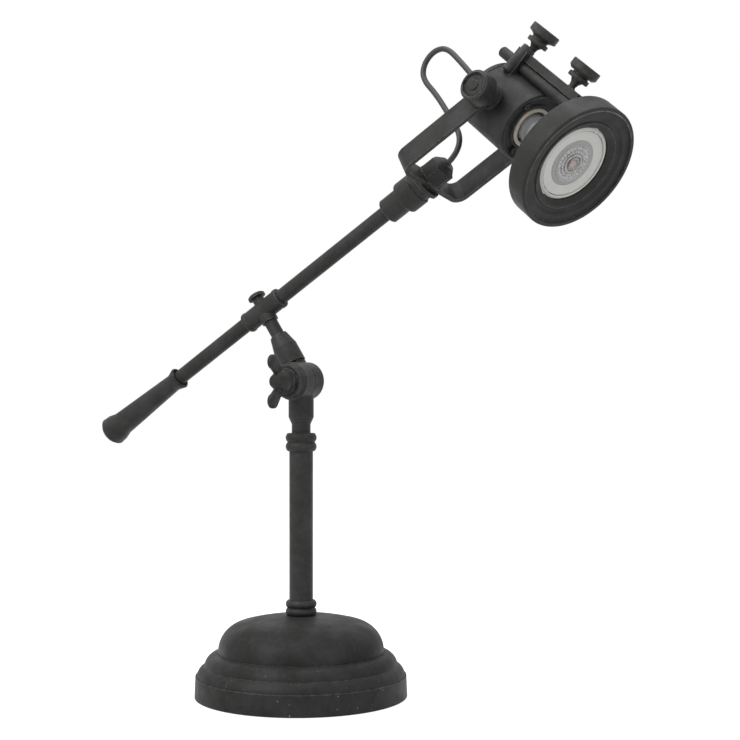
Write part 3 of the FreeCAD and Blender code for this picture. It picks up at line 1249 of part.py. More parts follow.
def make_bracket():
    """Bracket block on the housing, the rail on it, and the two thumb screws in the rail."""
    frame = at(HEAD, -d.rod_side)
    screw_hole = d.thumb_shank_d / 2 + d.fit_gap
    block = new_body("bracket_block", frame)
    side = new_sketch(block, "YZ_Plane")
    draw(side, [(d.block_foot, -d.block_rear), (d.block_foot, -d.block_front),
                (d.block_top, -d.block_front), (d.block_top, -d.block_rear)])
    pad(block, side, d.block_half * 2, both_ways=True)
    seat = new_sketch(block, "XY_Plane")
    draw_circle(seat, d.rod_side, 0, d.housing_radius + d.fit_gap)
    cut_through(block, seat)
    bore = new_sketch(block, "XY_Plane")
    draw_circle(bore, 0, d.rod_height, d.rod_radius + d.fit_gap)
    cut_through(block, bore)
    threaded = new_sketch(block, "XZ_Plane", -d.block_top)
    draw_circle(threaded, 0, -d.rail_screw_rear, screw_hole)
    cut(block, threaded, d.block_top - d.rod_height, reverse=True)

    rail_low = d.rod_height + d.rod_radius + d.face_gap
    rail_high = rail_low + d.rail_height
    rail = new_body("rail", frame)
    section = new_sketch(rail, "XY_Plane", -d.block_front)
    draw(section, [(-d.rail_half, rail_low), (d.rail_half, rail_low), (d.rail_half, rail_high),
                   (-d.rail_half, rail_high)])
    pad(rail, section, d.block_front + d.rail_front)
    tapped = new_sketch(rail, "XZ_Plane")
    draw_circle(tapped, 0, d.rail_screw_front, screw_hole)
    cut_through(rail, tapped)

    shank = d.thumb_shank_d / 2
    low = rail_low - d.face_gap + d.fit_gap
    places = (("rear", -d.rail_screw_rear, d.thumb_rise_rear),
              ("front", d.rail_screw_front, d.thumb_rise_front))
    for name, z, rise in places:
        flange = rail_high + rise
        waist = flange + d.thumb_flange_t
        head = waist + d.thumb_waist
        top = head + d.thumb_head_t
        turned(f"rail_screw_{name}", at(LEVER, d.rod_side, z), [
            (0, low), (shank, low), (shank, rail_high + 1), (d.thumb_throat_radius, flange),
            (d.thumb_flange_radius - 1.6, flange),
            (d.thumb_flange_radius, flange + 0.8), (d.thumb_flange_radius, waist),
            (d.thumb_waist_radius, waist + 0.8), (d.thumb_waist_radius, head - 0.8),
            (d.thumb_head_radius - 1, head), (d.thumb_head_radius, head + 1),
            (d.thumb_head_radius, top - 1), (d.thumb_head_radius - 1, top), (0, top)])


def make_ring():
    outer, bore = d.ring_radius, d.ring_bore
    front, rear = d.ring_front, d.ring_front - d.ring_depth
    face = front - d.ring_dish
    floor = face - d.recess_depth
    lip = front - d.fit_gap
    seat = lip - d.retainer_depth
    ring = turned("lamp_ring", HEAD, [
        (bore, rear), (outer - 2, rear), Arc(2, -1), (outer, rear + 2), (outer, front - 1),
        (outer - 1, front), (outer - d.ring_lip, front), (outer - d.ring_lip - 1, face),
        (d.recess_radius, face), Arc(d.recess_depth, 1), (d.retainer_radius + 1, floor),
        (d.retainer_radius + d.fit_gap, floor), (d.retainer_radius + d.fit_gap, seat), (bore, seat)])
    turned("retaining_ring", HEAD, [
        (d.retainer_bore, seat), (d.retainer_radius, seat), (d.retainer_radius, lip - 1),
        (d.retainer_radius - 1, lip), (d.retainer_bore + 1.4, lip), (d.retainer_bore, lip - 1.4)])

    frame = at(HEAD, -d.rod_side)
    lug_low, lug_high = d.rod_height - 3.6, outer - d.lug_margin
    lug = new_body("ring_lug", frame)
    section = new_sketch(lug, "XY_Plane", rear - d.lug_depth)
    draw(section, [(-d.lug_half, lug_low), (d.lug_half, lug_low), (d.lug_half, lug_high),
                   (-d.lug_half, lug_high)])
    pad(lug, section, d.lug_depth)
    arch = new_sketch(lug, "XY_Plane")
    draw_circle(arch, d.rod_side, 0, d.lug_arch)
    cut_through(lug, arch)
    stud_hole = new_sketch(lug, "XY_Plane")
    draw_circle(stud_hole, 0, d.rod_height, d.stud_radius + d.fit_gap)
    cut_through(lug, stud_hole)
    screw_y = outer - 9
    holes = new_sketch(lug, "XY_Plane")
    for x in (-1, 1):
        draw_circle(holes, x * d.lug_half / 2, screw_y, d.lug_screw_d / 2 + d.fit_gap)
    cut_through(lug, holes)
    sinks = new_sketch(lug, "XY_Plane", rear - d.lug_depth)
    for x in (-1, 1):
        draw_circle(sinks, x * d.lug_half / 2, screw_y, d.lug_head_d / 2 + d.fit_gap)
    cut(lug, sinks, d.lug_head_t, reverse=True)
    taps = new_sketch(ring, "XY_Plane", rear)
    for x in (-1, 1):
        draw_circle(taps, x * d.lug_half / 2 - d.rod_side, screw_y, d.lug_screw_d / 2 + d.fit_gap)
    cut(ring, taps, d.lug_tap, reverse=True)

    screw = pattern_body("lug_screw")
    shank = d.lug_screw_d / 2
    head = d.lug_head_d / 2
    tip = d.lug_depth + d.lug_tap - 1
    revolve(screw, [(0, 0), (head, 0), (head, d.lug_head_t), (shank, d.lug_head_t),
                    (shank, tip), (0, tip)])
    doc.recompute()
    group("lug_screws", screw, [at(frame, x * d.lug_half / 2, screw_y, rear - d.lug_depth)
                                for x in (-1, 1)])

    radius, stud = d.rod_radius, d.stud_radius
    back = -d.rod_rear
    turned("slide_rod", at(frame, 0, d.rod_height), [
        (0, back), Arc(radius, -1), (radius, back + radius), (radius, rear - d.lug_depth),
        (stud, rear - d.lug_depth), (stud, rear - 1), (0, rear - 1)])


# ---------------------------------------------------------------- cable loop

def make_cable_loop():
    """The lead from the fork's gland to the rear of the housing, as (along head, up, side) points."""
    length = d.gland_washer_t.value + d.gland_hex_length.value + d.gland_dome.value
    gland_front = d.fork_seat.value + d.fork_thickness.value + length
    into_gland = gland_front - 8 - d.pivot_distance.value
    exit_run = 14.0
    start = (math.cos(tilt) * into_gland, math.sin(tilt) * into_gland)
    first = (start[0] + math.cos(tilt) * exit_run, start[1] + math.sin(tilt) * exit_run)
    route = [
        (start[0], start[1], 0), (first[0], first[1], 0), (-26.6, -42.0, 0.6), (-50.5, -36.2, 1.6),
        (-79.5, -30.0, 2.4), (-102.6, -28.0, 2.2), (-111.3, -17.6, 1.6), (-110.3, -4.0, 0.8),
        (-100.0, 4.9, 0.2), (-76.0, 3.2, -0.4), (-50.0, 0, 0), (-d.housing_rear.value - 1.0, 0, 0)]
    points = [Vector(side, up, along) for along, up, side in route]
    pipe("cable_loop", points, d.lead_diameter.value, HEAD)


# ---------------------------------------------------------------- build and write

def check_document():
    doc.recompute()
    for item in doc.Objects:
        if "Invalid" in item.State or "Error" in item.State:
            raise RuntimeError(f"{item.Name} failed: {item.State}")
    for item in sub_parts:
        if item.Shape.isNull() or not item.Shape.isValid() or item.Shape.Volume <= 0:
            raise RuntimeError(f"{item.Label} has no valid shape")


def write_parts():
    for old in os.listdir("parts"):
        os.remove(os.path.join("parts", old))
    for item in sub_parts:
        item.Shape.exportStep(f"parts/{item.Label}.step")
        box = item.Shape.optimalBoundingBox(False)
        print(f"{item.Label:22s} solids {len(item.Shape.Solids)} volume {item.Shape.Volume / 1000:8.2f} cm3 "
              f"x {box.XMin:7.1f} {box.XMax:7.1f} y {box.YMin:6.1f} {box.YMax:6.1f} "
              f"z {box.ZMin:6.1f} {box.ZMax:6.1f}")


def main():
    make_base()
    make_column()
    make_knuckle()
    make_tee()
    make_arm()
    make_fork()
    make_housing()
    make_front_plate()
    make_lampholder()
    make_bulb()
    make_pivots()
    make_bracket()
    make_ring()
    make_cable_loop()
    check_document()
    write_parts()


main()
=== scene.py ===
import json
import math

import bmesh
import bpy
from bpy.props import FloatProperty, FloatVectorProperty, IntProperty, PointerProperty
from bpy.types import Operator, Panel, PropertyGroup
from mathutils import Matrix, Vector


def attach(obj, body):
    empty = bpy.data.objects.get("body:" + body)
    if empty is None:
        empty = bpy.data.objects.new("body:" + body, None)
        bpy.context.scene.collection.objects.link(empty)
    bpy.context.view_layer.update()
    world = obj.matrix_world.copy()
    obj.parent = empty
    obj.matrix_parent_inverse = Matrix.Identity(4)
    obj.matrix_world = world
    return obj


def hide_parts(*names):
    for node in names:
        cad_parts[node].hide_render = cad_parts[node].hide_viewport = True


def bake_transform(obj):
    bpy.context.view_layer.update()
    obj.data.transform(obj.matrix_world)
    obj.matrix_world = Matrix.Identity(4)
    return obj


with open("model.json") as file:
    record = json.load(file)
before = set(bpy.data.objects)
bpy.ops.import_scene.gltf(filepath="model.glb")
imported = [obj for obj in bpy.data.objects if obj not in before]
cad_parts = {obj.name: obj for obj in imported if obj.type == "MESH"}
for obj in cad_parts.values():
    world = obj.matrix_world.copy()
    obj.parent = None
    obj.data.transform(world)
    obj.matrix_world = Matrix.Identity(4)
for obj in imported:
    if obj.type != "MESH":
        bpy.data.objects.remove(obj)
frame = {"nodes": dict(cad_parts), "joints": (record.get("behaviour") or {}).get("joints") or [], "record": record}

bl_info = {
    "name": "Searchlight Table Lamp",
    "version": (1, 0, 0),
    "blender": (4, 5, 0),
    "location": "3D View > Sidebar > Searchlight Lamp",
    "description": "Finishes, lead, reflector bulb and studio of a tabletop searchlight lamp",
    "category": "Object",
}

MM = 0.001
NODES = frame["nodes"]
JOINTS = {joint["name"]: joint for joint in frame["joints"]}
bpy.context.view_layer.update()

# The head's own axes: along it towards the bulb, up to the thumb screws, and along the fork's pivot
PIVOT = Vector(JOINTS["head_tilt"]["pos_m"])
ACROSS = Vector(JOINTS["head_tilt"]["axis"])
FORWARD = Vector(JOINTS["ring_slide"]["axis"])
UPWARD = ACROSS.cross(FORWARD)
ARM = Vector(JOINTS["fork_roll"]["axis"])

# Route of the lead from the fork's gland to the rear cap, in millimetres: along the head, up, and away
# from the near leg
LEAD_ROUTE = (
    (-23.1, -72.4, 0), (-18.85, -59.1, 0), (-26.6, -42.0, 0.6), (-50.5, -36.2, 1.6), (-79.5, -30.0, 2.4),
    (-102.6, -28.0, 2.2), (-111.3, -17.6, 1.6), (-110.3, -4.0, 0.8), (-100.0, 4.9, 0.2), (-76.0, 3.2, -0.4),
    (-50.0, 0, 0), (-28.6, 0, 0),
)


def head_point(along, up, away=0.0):
    """A point given in the head's own axes, in millimetres, as a place in the frame."""
    return PIVOT + (FORWARD * along + UPWARD * up - ACROSS * away) * MM


# ---------------------------------------------------------------- carried-over pieces

def slot_of(node):
    """The record slot of a carried-over node."""
    for part in frame["record"]["subparts"]:
        if part["node"] == node:
            return part["material_slot"]
    raise RuntimeError(f"{node} has no material slot")


def body_of(node):
    """The body that a carried-over node belongs to."""
    for body, nodes in frame["record"]["behaviour"]["bodies"].items():
        if node in nodes:
            return body
    raise RuntimeError(f"{node} belongs to no body")


def extent(node, axis, origin=PIVOT):
    """Least and greatest distance of a carried-over piece from a point, along an axis."""
    along = [(v.co - origin).dot(axis) for v in NODES[node].data.vertices]
    return min(along), max(along)


def extent_mm(node, axis, origin=PIVOT):
    """The same extent in millimetres, the measure that the outlines below are given in."""
    return tuple(edge / MM for edge in extent(node, axis, origin))


# ---------------------------------------------------------------- sizes and colours

class LampFinish(PropertyGroup):
    metal: FloatVectorProperty(
        name="Metal", description="Dark gunmetal coat of the lamp", subtype="COLOR", size=3,
        min=0, max=1, default=(0.0175, 0.0172, 0.0160))
    metal_light: FloatVectorProperty(
        name="Rubbed metal", description="Where the coat is rubbed thin", subtype="COLOR", size=3,
        min=0, max=1, default=(0.046, 0.046, 0.048))
    wear: FloatVectorProperty(
        name="Edge wear", description="Bare metal on worn edges", subtype="COLOR", size=3,
        min=0, max=1, default=(0.32, 0.31, 0.29))
    wear_width: FloatProperty(
        name="Wear width", description="Width of the worn band along edges", subtype="DISTANCE",
        unit="LENGTH", default=0.0007, min=0.0001, max=0.005)
    sheath: FloatVectorProperty(
        name="Lead", description="Sheath of the lead", subtype="COLOR", size=3,
        min=0, max=1, default=(0.020, 0.020, 0.019))
    porcelain: FloatVectorProperty(
        name="Porcelain", description="Rim of the lampholder", subtype="COLOR", size=3,
        min=0, max=1, default=(0.62, 0.54, 0.44))
    # The neck's own silver, lightened and tinted blue with painted reflection of the pale surround
    bulb_neck: FloatVectorProperty(
        name="Bulb neck", description="Silvered flank of the bulb", subtype="COLOR", size=3,
        min=0, max=1, default=(0.66, 0.69, 0.74))
    diffuser: FloatVectorProperty(
        name="Bulb front", description="Frosted front of the bulb", subtype="COLOR", size=3,
        min=0, max=1, default=(0.76, 0.75, 0.715))


class LampSizes(PropertyGroup):
    lead_diameter: FloatProperty(
        name="Lead diameter", description="Diameter of the round lead", subtype="DISTANCE",
        unit="LENGTH", default=0.0048, min=0.002, max=0.012)
    lead_length: FloatProperty(
        name="Lead length", description="Length of the free lead between fork and head", subtype="DISTANCE",
        unit="LENGTH", default=0.2184, min=0.05, max=1.0)
    optic_radius: FloatProperty(
        name="Lens radius", description="Radius of the lens in the bulb's front",
        subtype="DISTANCE", unit="LENGTH", default=0.0156, min=0.004, max=0.03)
    rim_roll: FloatProperty(
        name="Rim roll", description="How far the housing's rolled rim stands forward",
        subtype="DISTANCE", unit="LENGTH", default=0.0022, min=0, max=0.01)
    optic_facets: IntProperty(
        name="Lens facets", description="Facets in each ring of the bulb's lens",
        default=26, min=6, max=60)


class LampStudio(PropertyGroup):
    distance: FloatProperty(
        name="Camera distance", description="From the lamp's column to the camera", subtype="DISTANCE",
        unit="LENGTH", default=1.3360, min=0.3, max=10)
    side: FloatProperty(
        name="Camera offset", description="Sideways from the column", subtype="DISTANCE",
        unit="LENGTH", default=0.0584, min=-1, max=1)
    height: FloatProperty(
        name="Camera height", description="Above the table", subtype="DISTANCE", unit="LENGTH",
        default=0.2763, min=0, max=3)
    turn: FloatProperty(
        name="Camera turn", description="Azimuth that the lamp is seen from", subtype="ANGLE",
        unit="ROTATION", default=math.radians(29), min=-math.pi, max=math.pi)
    lens: FloatProperty(
        name="Lens", description="Focal length", subtype="DISTANCE_CAMERA", unit="CAMERA",
        default=76.62, min=10, max=300)
    surround: FloatProperty(
        name="Surround", description="Strength of the soft light from all sides", default=0.20, min=0, max=2)
    key: FloatProperty(
        name="Key light", description="Power of the large soft box", subtype="POWER", unit="POWER",
        default=25.5, min=0, max=200)


# ---------------------------------------------------------------- node tree helpers

# A Mix node has sockets for numbers, vectors and colours; these are the places of the ones in use
MIX_FLOATS_IN = (2, 3)
MIX_COLOURS_IN = (6, 7)
MIX_COLOUR_OUT = 2


def new_group(name, inputs, outputs):
    """A shader node group with float or colour sockets; returns the tree and its two ends."""
    tree = bpy.data.node_groups.new(name, "ShaderNodeTree")
    kinds = {"float": "NodeSocketFloat", "colour": "NodeSocketColor"}
    for label, kind, value in inputs:
        socket = tree.interface.new_socket(label, in_out="INPUT", socket_type=kinds[kind])
        socket.default_value = value
    for label, kind in outputs:
        tree.interface.new_socket(label, in_out="OUTPUT", socket_type=kinds[kind])
    return tree, tree.nodes.new("NodeGroupInput"), tree.nodes.new("NodeGroupOutput")


def wire(tree, source, target):
    tree.links.new(source, target)


def feed(tree, socket, value):
    """Wires another node's output to a socket, or sets the socket to a plain value."""
    if isinstance(value, bpy.types.NodeSocket):
        wire(tree, value, socket)
    else:
        socket.default_value = value


def fill_in(tree, node, **settings):
    """Sets a node's settings and sockets by name; an underscore stands for a space in a socket's name."""
    for name, value in settings.items():
        label = name.replace("_", " ")
        if label in node.inputs:
            feed(tree, node.inputs[label], value)
        else:
            setattr(node, name, value)
    return node


def add_node(tree, kind, **settings):
    return fill_in(tree, tree.nodes.new(kind), **settings)


def place_group(tree, name, make, **values):
    """Places a shared effect, which is made the first time that it is asked for."""
    group = bpy.data.node_groups.get(name) or make()
    return add_node(tree, "ShaderNodeGroup", node_tree=group, **values)


def object_place(tree):
    return add_node(tree, "ShaderNodeTexCoord").outputs["Object"]


def noise(tree, coordinates, scale, detail=3.0, roughness=0.55):
    node = add_node(tree, "ShaderNodeTexNoise", Vector=coordinates, Scale=scale, Detail=detail,
                    Roughness=roughness)
    return node.outputs["Fac"]


def ramp(tree, value, low, high):
    """Maps low..high to 0..1, clamped."""
    node = add_node(tree, "ShaderNodeMapRange", clamp=True, From_Min=low, From_Max=high, Value=value)
    return node.outputs["Result"]


def maths(tree, operation, first, second=0.0):
    node = add_node(tree, "ShaderNodeMath", operation=operation)
    feed(tree, node.inputs[0], first)
    feed(tree, node.inputs[1], second)
    return node.outputs[0]


def product(tree, first, *others):
    for other in others:
        first = maths(tree, "MULTIPLY", first, other)
    return first


def weighted(tree, first, share, second, rest):
    """The sum of two masks, each times its own share."""
    return maths(tree, "ADD", product(tree, first, share), product(tree, second, rest))


def vector_maths(tree, operation, first, second=None):
    node = add_node(tree, "ShaderNodeVectorMath", operation=operation)
    feed(tree, node.inputs[0], first)
    if second is not None:
        feed(tree, node.inputs[1], second)
    return node.outputs["Value" if operation in {"DOT_PRODUCT", "LENGTH"} else "Vector"]


def mix_colour(tree, factor, first, second):
    node = add_node(tree, "ShaderNodeMix", data_type="RGBA", Factor=factor)
    for index, colour in zip(MIX_COLOURS_IN, (first, second)):
        feed(tree, node.inputs[index], colour)
    return node.outputs[MIX_COLOUR_OUT]


def seen_directly(tree):
    """1 for rays from the camera, off gloss and through glass, which all show the pale surround."""
    path = add_node(tree, "ShaderNodeLightPath")
    seen = maths(tree, "MAXIMUM", path.outputs["Is Camera Ray"], path.outputs["Is Transmission Ray"])
    return maths(tree, "MAXIMUM", seen, path.outputs["Is Glossy Ray"])


def rgba(colour):
    return (*tuple(colour)[:3], 1.0)


def scaled(colour, factor):
    return tuple(c * factor for c in tuple(colour)[:3])


# ---------------------------------------------------------------- shared effects

# Patterns per metre: smears of the coat, its fine grain, and the cells that hold the specks
SMEAR_SCALE = 260
GRAIN_SCALE = 1500
SPECK_SCALE = 330
BARE_CELLS = 0.72       # share of the cells that stay without a speck
FEWEST_SPECKS = 0.06    # share of the specks that is left high up
LIP_FROM = 0.08         # the painted highlight on the ring's lip lies further forward than this, from the head's pivot


def patina_group():
    """Clouded dark coat: a light and a dark tone in patches, fine grain, and its roughness."""
    tree, start, end = new_group(
        "Gunmetal patina",
        [("Coat", "colour", (0.02, 0.02, 0.02, 1)), ("Rubbed", "colour", (0.05, 0.05, 0.05, 1)),
         ("Patch size", "float", 70.0), ("Rub", "float", 0.5)],
        [("Color", "colour"), ("Roughness", "float"), ("Height", "float")])
    place = object_place(tree)
    patches = ramp(tree, noise(tree, place, start.outputs["Patch size"], 4.0, 0.6), 0.40, 0.66)
    smears = ramp(tree, noise(tree, place, SMEAR_SCALE, 4.0, 0.65), 0.36, 0.68)
    grain = noise(tree, place, GRAIN_SCALE, 2.0)
    rub = product(tree, weighted(tree, patches, 0.65, smears, 0.35), start.outputs["Rub"])
    rough = maths(tree, "ADD", product(tree, patches, -0.12), 0.54)
    rough = maths(tree, "ADD", rough, product(tree, ramp(tree, grain, 0.3, 0.7), 0.08))
    fill_in(tree, end, Color=mix_colour(tree, rub, start.outputs["Coat"], start.outputs["Rubbed"]),
            Roughness=rough, Height=weighted(tree, grain, 0.6, smears, 0.4))
    return tree


def edge_group():
    """Mask of worn edges: where a rounded normal departs from the true one, broken up by noise."""
    tree, start, end = new_group(
        "Edge wear", [("Width", "float", 0.0007), ("Amount", "float", 0.6)], [("Mask", "float")])
    bevel = add_node(tree, "ShaderNodeBevel", samples=6, Radius=start.outputs["Width"])
    true_normal = add_node(tree, "ShaderNodeNewGeometry").outputs["Normal"]
    alike = vector_maths(tree, "DOT_PRODUCT", bevel.outputs["Normal"], true_normal)
    edge = ramp(tree, maths(tree, "SUBTRACT", 1.0, alike), 0.012, 0.10)
    broken = ramp(tree, noise(tree, object_place(tree), SMEAR_SCALE, 4.0, 0.65), 0.34, 0.58)
    wire(tree, product(tree, edge, broken, start.outputs["Amount"]), end.inputs["Mask"])
    return tree


def lip_highlight_group():
    """Mask of a painted highlight: a thin band round the head's axis, stronger on the side that faces up, where
    the light falls.
    """
    tree, start, end = new_group(
        "Lip highlight", [("Radius", "float", 0.049), ("Width", "float", 0.0007)], [("Mask", "float")])
    place = object_place(tree)
    out = vector_maths(tree, "SUBTRACT", place, PIVOT)
    radius = vector_maths(tree, "LENGTH", vector_maths(tree, "CROSS_PRODUCT", out, FORWARD))
    off = maths(tree, "ABSOLUTE", maths(tree, "SUBTRACT", radius, start.outputs["Radius"]))
    band = maths(tree, "SUBTRACT", 1.0, maths(tree, "DIVIDE", off, start.outputs["Width"]))
    band = maths(tree, "MAXIMUM", band, 0.0)
    # the upper side gets more of it, as the light falls there: painted highlight
    top = ramp(tree, vector_maths(tree, "DOT_PRODUCT", out, UPWARD + ACROSS), -0.03, 0.06)
    face = maths(tree, "GREATER_THAN", vector_maths(tree, "DOT_PRODUCT", out, FORWARD), LIP_FROM)
    broken = ramp(tree, noise(tree, place, 150, 4.0, 0.6), 0.3, 0.62)
    wire(tree, product(tree, band, broken, product(tree, top, face)), end.inputs["Mask"])
    return tree


def speck_group():
    """Mask of small pale specks, gathered in patches and thinning out with height."""
    tree, start, end = new_group(
        "Pale specks", [("Amount", "float", 0.6), ("Top", "float", 0.04)], [("Mask", "float")])
    place = object_place(tree)
    cells = add_node(tree, "ShaderNodeTexVoronoi", feature="F1", Scale=SPECK_SCALE, Vector=place)
    dots = ramp(tree, cells.outputs["Distance"], 0.20, 0.10)
    draw = add_node(tree, "ShaderNodeSeparateColor", Color=cells.outputs["Color"]).outputs["Red"]
    dots = product(tree, dots, maths(tree, "GREATER_THAN", draw, BARE_CELLS))
    gather = ramp(tree, noise(tree, place, 32, 3.0), 0.47, 0.60)
    height = add_node(tree, "ShaderNodeSeparateXYZ", Vector=place).outputs["Z"]
    low = maths(tree, "SUBTRACT", 1.0, maths(tree, "DIVIDE", height, start.outputs["Top"]))
    low = maths(tree, "MAXIMUM", low, FEWEST_SPECKS)
    wire(tree, product(tree, dots, gather, low, start.outputs["Amount"]), end.inputs["Mask"])
    return tree


# ---------------------------------------------------------------- materials

SPECK_TONE = (0.42, 0.40, 0.36, 1.0)
# width of the band of painted highlight on the ring's lip
LIP_WIDTH = 0.7 * MM
FROST_RIM = 1.8 * MM    # the bulb's flank is frosted this far back from its front edge
FROST_FADE = 0.4 * MM
PLAIN_ROUGHNESS_SPREAD = 0.16


def new_material(name):
    material = bpy.data.materials.new(name)
    material.use_nodes = True
    tree = material.node_tree
    return material, tree, tree.nodes["Principled BSDF"]


def bump(tree, shader, height, strength, distance):
    node = add_node(tree, "ShaderNodeBump", Strength=strength, Distance=distance, Height=height)
    wire(tree, node.outputs["Normal"], shader.inputs["Normal"])


def gunmetal(name, patch, rub, tone=1.0, rubbed_tone=1.0, worn=0.55, specks=0.0, top=0.045, shine=0.22,
             lip=0.0):
    """Dark lacquered metal with a clouded coat and worn edges.

    Specks are pale and thin out up to the height top; lip is the radius of a band of painted highlight round the
    head.
    """
    look = bpy.context.scene.lamp_finish
    material, tree, shader = new_material(name)
    patina = place_group(tree, "Gunmetal patina", patina_group, Coat=rgba(scaled(look.metal, tone)),
                         Rubbed=rgba(scaled(look.metal_light, rubbed_tone)), Patch_size=patch, Rub=rub)
    edges = place_group(tree, "Edge wear", edge_group, Width=look.wear_width, Amount=worn)
    colour = mix_colour(tree, edges.outputs["Mask"], patina.outputs["Color"], rgba(look.wear))
    if specks:
        dots = place_group(tree, "Pale specks", speck_group, Amount=specks, Top=top)
        colour = mix_colour(tree, dots.outputs["Mask"], colour, SPECK_TONE)
    # a band of painted highlight on the ring's lip, in the colour of worn edges
    if lip:
        band = place_group(tree, "Lip highlight", lip_highlight_group, Radius=lip, Width=LIP_WIDTH)
        colour = mix_colour(tree, band.outputs["Mask"], colour, rgba(look.wear))
    fill_in(tree, shader, Base_Color=colour, Roughness=patina.outputs["Roughness"], Metallic=0.0,
            Specular_IOR_Level=shine)
    bump(tree, shader, patina.outputs["Height"], 0.22, 0.00035)
    return material


def plain(name, colour, roughness, metallic=0.0, scale=400, spread=0.12, depth=0.0001):
    """A material of one tone with fine variation of colour, roughness and surface."""
    material, tree, shader = new_material(name)
    grain = noise(tree, object_place(tree), scale, 4.0, 0.6)
    dark = rgba(scaled(colour, 1 - spread * 2))
    rough = maths(tree, "ADD", product(tree, grain, PLAIN_ROUGHNESS_SPREAD),
                  roughness - PLAIN_ROUGHNESS_SPREAD / 2)
    fill_in(tree, shader, Base_Color=mix_colour(tree, ramp(tree, grain, 0.3, 0.7), dark, rgba(colour)),
            Roughness=rough, Metallic=metallic)
    bump(tree, shader, grain, 0.2, depth)
    return material


def bulb_coat(name):
    """Silvered flank of the bulb, which turns into its frosted rim close to the front; part of its silver is a
    painted reflection.
    """
    look = bpy.context.scene.lamp_finish
    material, tree, shader = new_material(name)
    place = object_place(tree)
    along = vector_maths(tree, "DOT_PRODUCT", place, FORWARD)
    start = PIVOT.dot(FORWARD) + extent("bulb_reflector", FORWARD)[1] - FROST_RIM
    rim = ramp(tree, along, start, start + FROST_FADE)
    cloud = ramp(tree, noise(tree, place, 60, 2.0), 0.3, 0.7)
    silver = mix_colour(tree, cloud, rgba(scaled(look.bulb_neck, 0.9)), rgba(look.bulb_neck))
    fill_in(tree, shader, Base_Color=mix_colour(tree, rim, silver, rgba(look.diffuser)),
            Roughness=maths(tree, "ADD", product(tree, rim, 0.2), 0.22),
            # only partly metallic: the rest of the light silver is a diffuse tone, a painted reflection
            Metallic=product(tree, maths(tree, "SUBTRACT", 1.0, rim), 0.6))
    return material


class LAMP_OT_finishes(Operator):
    """Makes the lamp's materials and gives each carried-over piece the one of its slot"""
    bl_idname = "searchlight.finishes"
    bl_label = "Finishes"

    def execute(self, context):
        look = context.scene.lamp_finish
        finishes = {
            "dome_paint": gunmetal("Dome coat", 34.0, 0.72, worn=0.4, specks=1.0, shine=0.12),
            "body_paint": gunmetal("Body coat", 60.0, 0.6, tone=1.15, rubbed_tone=1.15),
            "knob_metal": gunmetal("Knob coat", 110.0, 0.7, worn=0.8),
            # the ring's lip also gets a band of painted highlight
            "ring_metal": gunmetal("Ring coat", 45.0, 0.4, worn=0.9, specks=0.15, top=1.0, lip=49.3 * MM),
            "steel": gunmetal("Blackened steel", 120.0, 0.6, tone=0.8, worn=0.8),
            "iron": plain("Cast iron", (0.05, 0.05, 0.05), 0.7),
            "felt": plain("Felt", (0.03, 0.03, 0.03), 0.9, scale=1500, spread=0.2, depth=0.0004),
            "fibre": plain("Fibre washer", (0.06, 0.045, 0.035), 0.7),
            "grommet_rubber": plain("Grommet rubber", look.sheath, 0.6),
            "cable": plain("Lead sheath", look.sheath, 0.5),
            "porcelain": plain("Porcelain", look.porcelain, 0.3, scale=120),
            "cap_metal": plain("Cap metal", (0.55, 0.55, 0.54), 0.3, metallic=1.0, scale=300),
            "tip_glass": plain("Tip glass", (0.02, 0.02, 0.03), 0.15),
            "bulb_glass": bulb_coat("Bulb flank"),
            "lens_glass": plain("Bulb frost", look.diffuser, 0.35, scale=90, spread=0.04),
        }
        for name, node in NODES.items():
            for slot in node.material_slots:
                slot.material = finishes[slot_of(name)]
        return {"FINISHED"}


# ---------------------------------------------------------------- mesh helpers

ON_AXIS = 1e-7          # a corner closer to the axis than this is one point on it
CREASE = 28             # degrees above which an edge of a turned piece stays crisp
RIM_ANGLE = 60          # degrees above which an edge of a flat piece is its rim


def link(obj):
    bpy.context.scene.collection.objects.link(obj)
    return obj


def turned(name, corners, axis_start, axis, steps=128, closed=True):
    """Turns an outline round an axis into a smooth, closed mesh.

    The corners are (radius, distance along the axis) or (radius, distance, rounding), in millimetres.
    With closed=False the outline starts and ends on the axis.
    """
    side = axis.orthogonal().normalized()
    over = axis.cross(side)
    mesh = bmesh.new()
    rings = []
    for radius, along in rounded(corners):
        centre = axis_start + axis * along
        if radius < ON_AXIS:
            rings.append([mesh.verts.new(centre)])
            continue
        rings.append([mesh.verts.new(centre + (side * math.cos(a) + over * math.sin(a)) * radius)
                      for a in (2 * math.pi * i / steps for i in range(steps))])
    count = len(rings) if closed else len(rings) - 1
    for i in range(count):
        here, there = rings[i], rings[(i + 1) % len(rings)]
        if len(here) == 1 and len(there) == 1:
            continue
        for j in range(steps):
            k = (j + 1) % steps
            corners = [here[j % len(here)], here[k % len(here)], there[k % len(there)], there[j % len(there)]]
            unique = list(dict.fromkeys(corners))
            if len(unique) > 2:
                mesh.faces.new(unique)
    bmesh.ops.recalc_face_normals(mesh, faces=mesh.faces)
    data = bpy.data.meshes.new(name)
    mesh.to_mesh(data)
    mesh.free()
    data.shade_smooth()
    obj = link(bpy.data.objects.new(name, data))
    sharpen(obj)
    return obj


def sharpen(obj, degrees=CREASE):
    """Keeps edges sharper than the angle crisp on a smooth mesh."""
    mesh = bmesh.new()
    mesh.from_mesh(obj.data)
    limit = math.radians(degrees)
    for edge in mesh.edges:
        if len(edge.link_faces) == 2 and edge.calc_face_angle(0) > limit:
            edge.smooth = False
    mesh.to_mesh(obj.data)
    mesh.free()


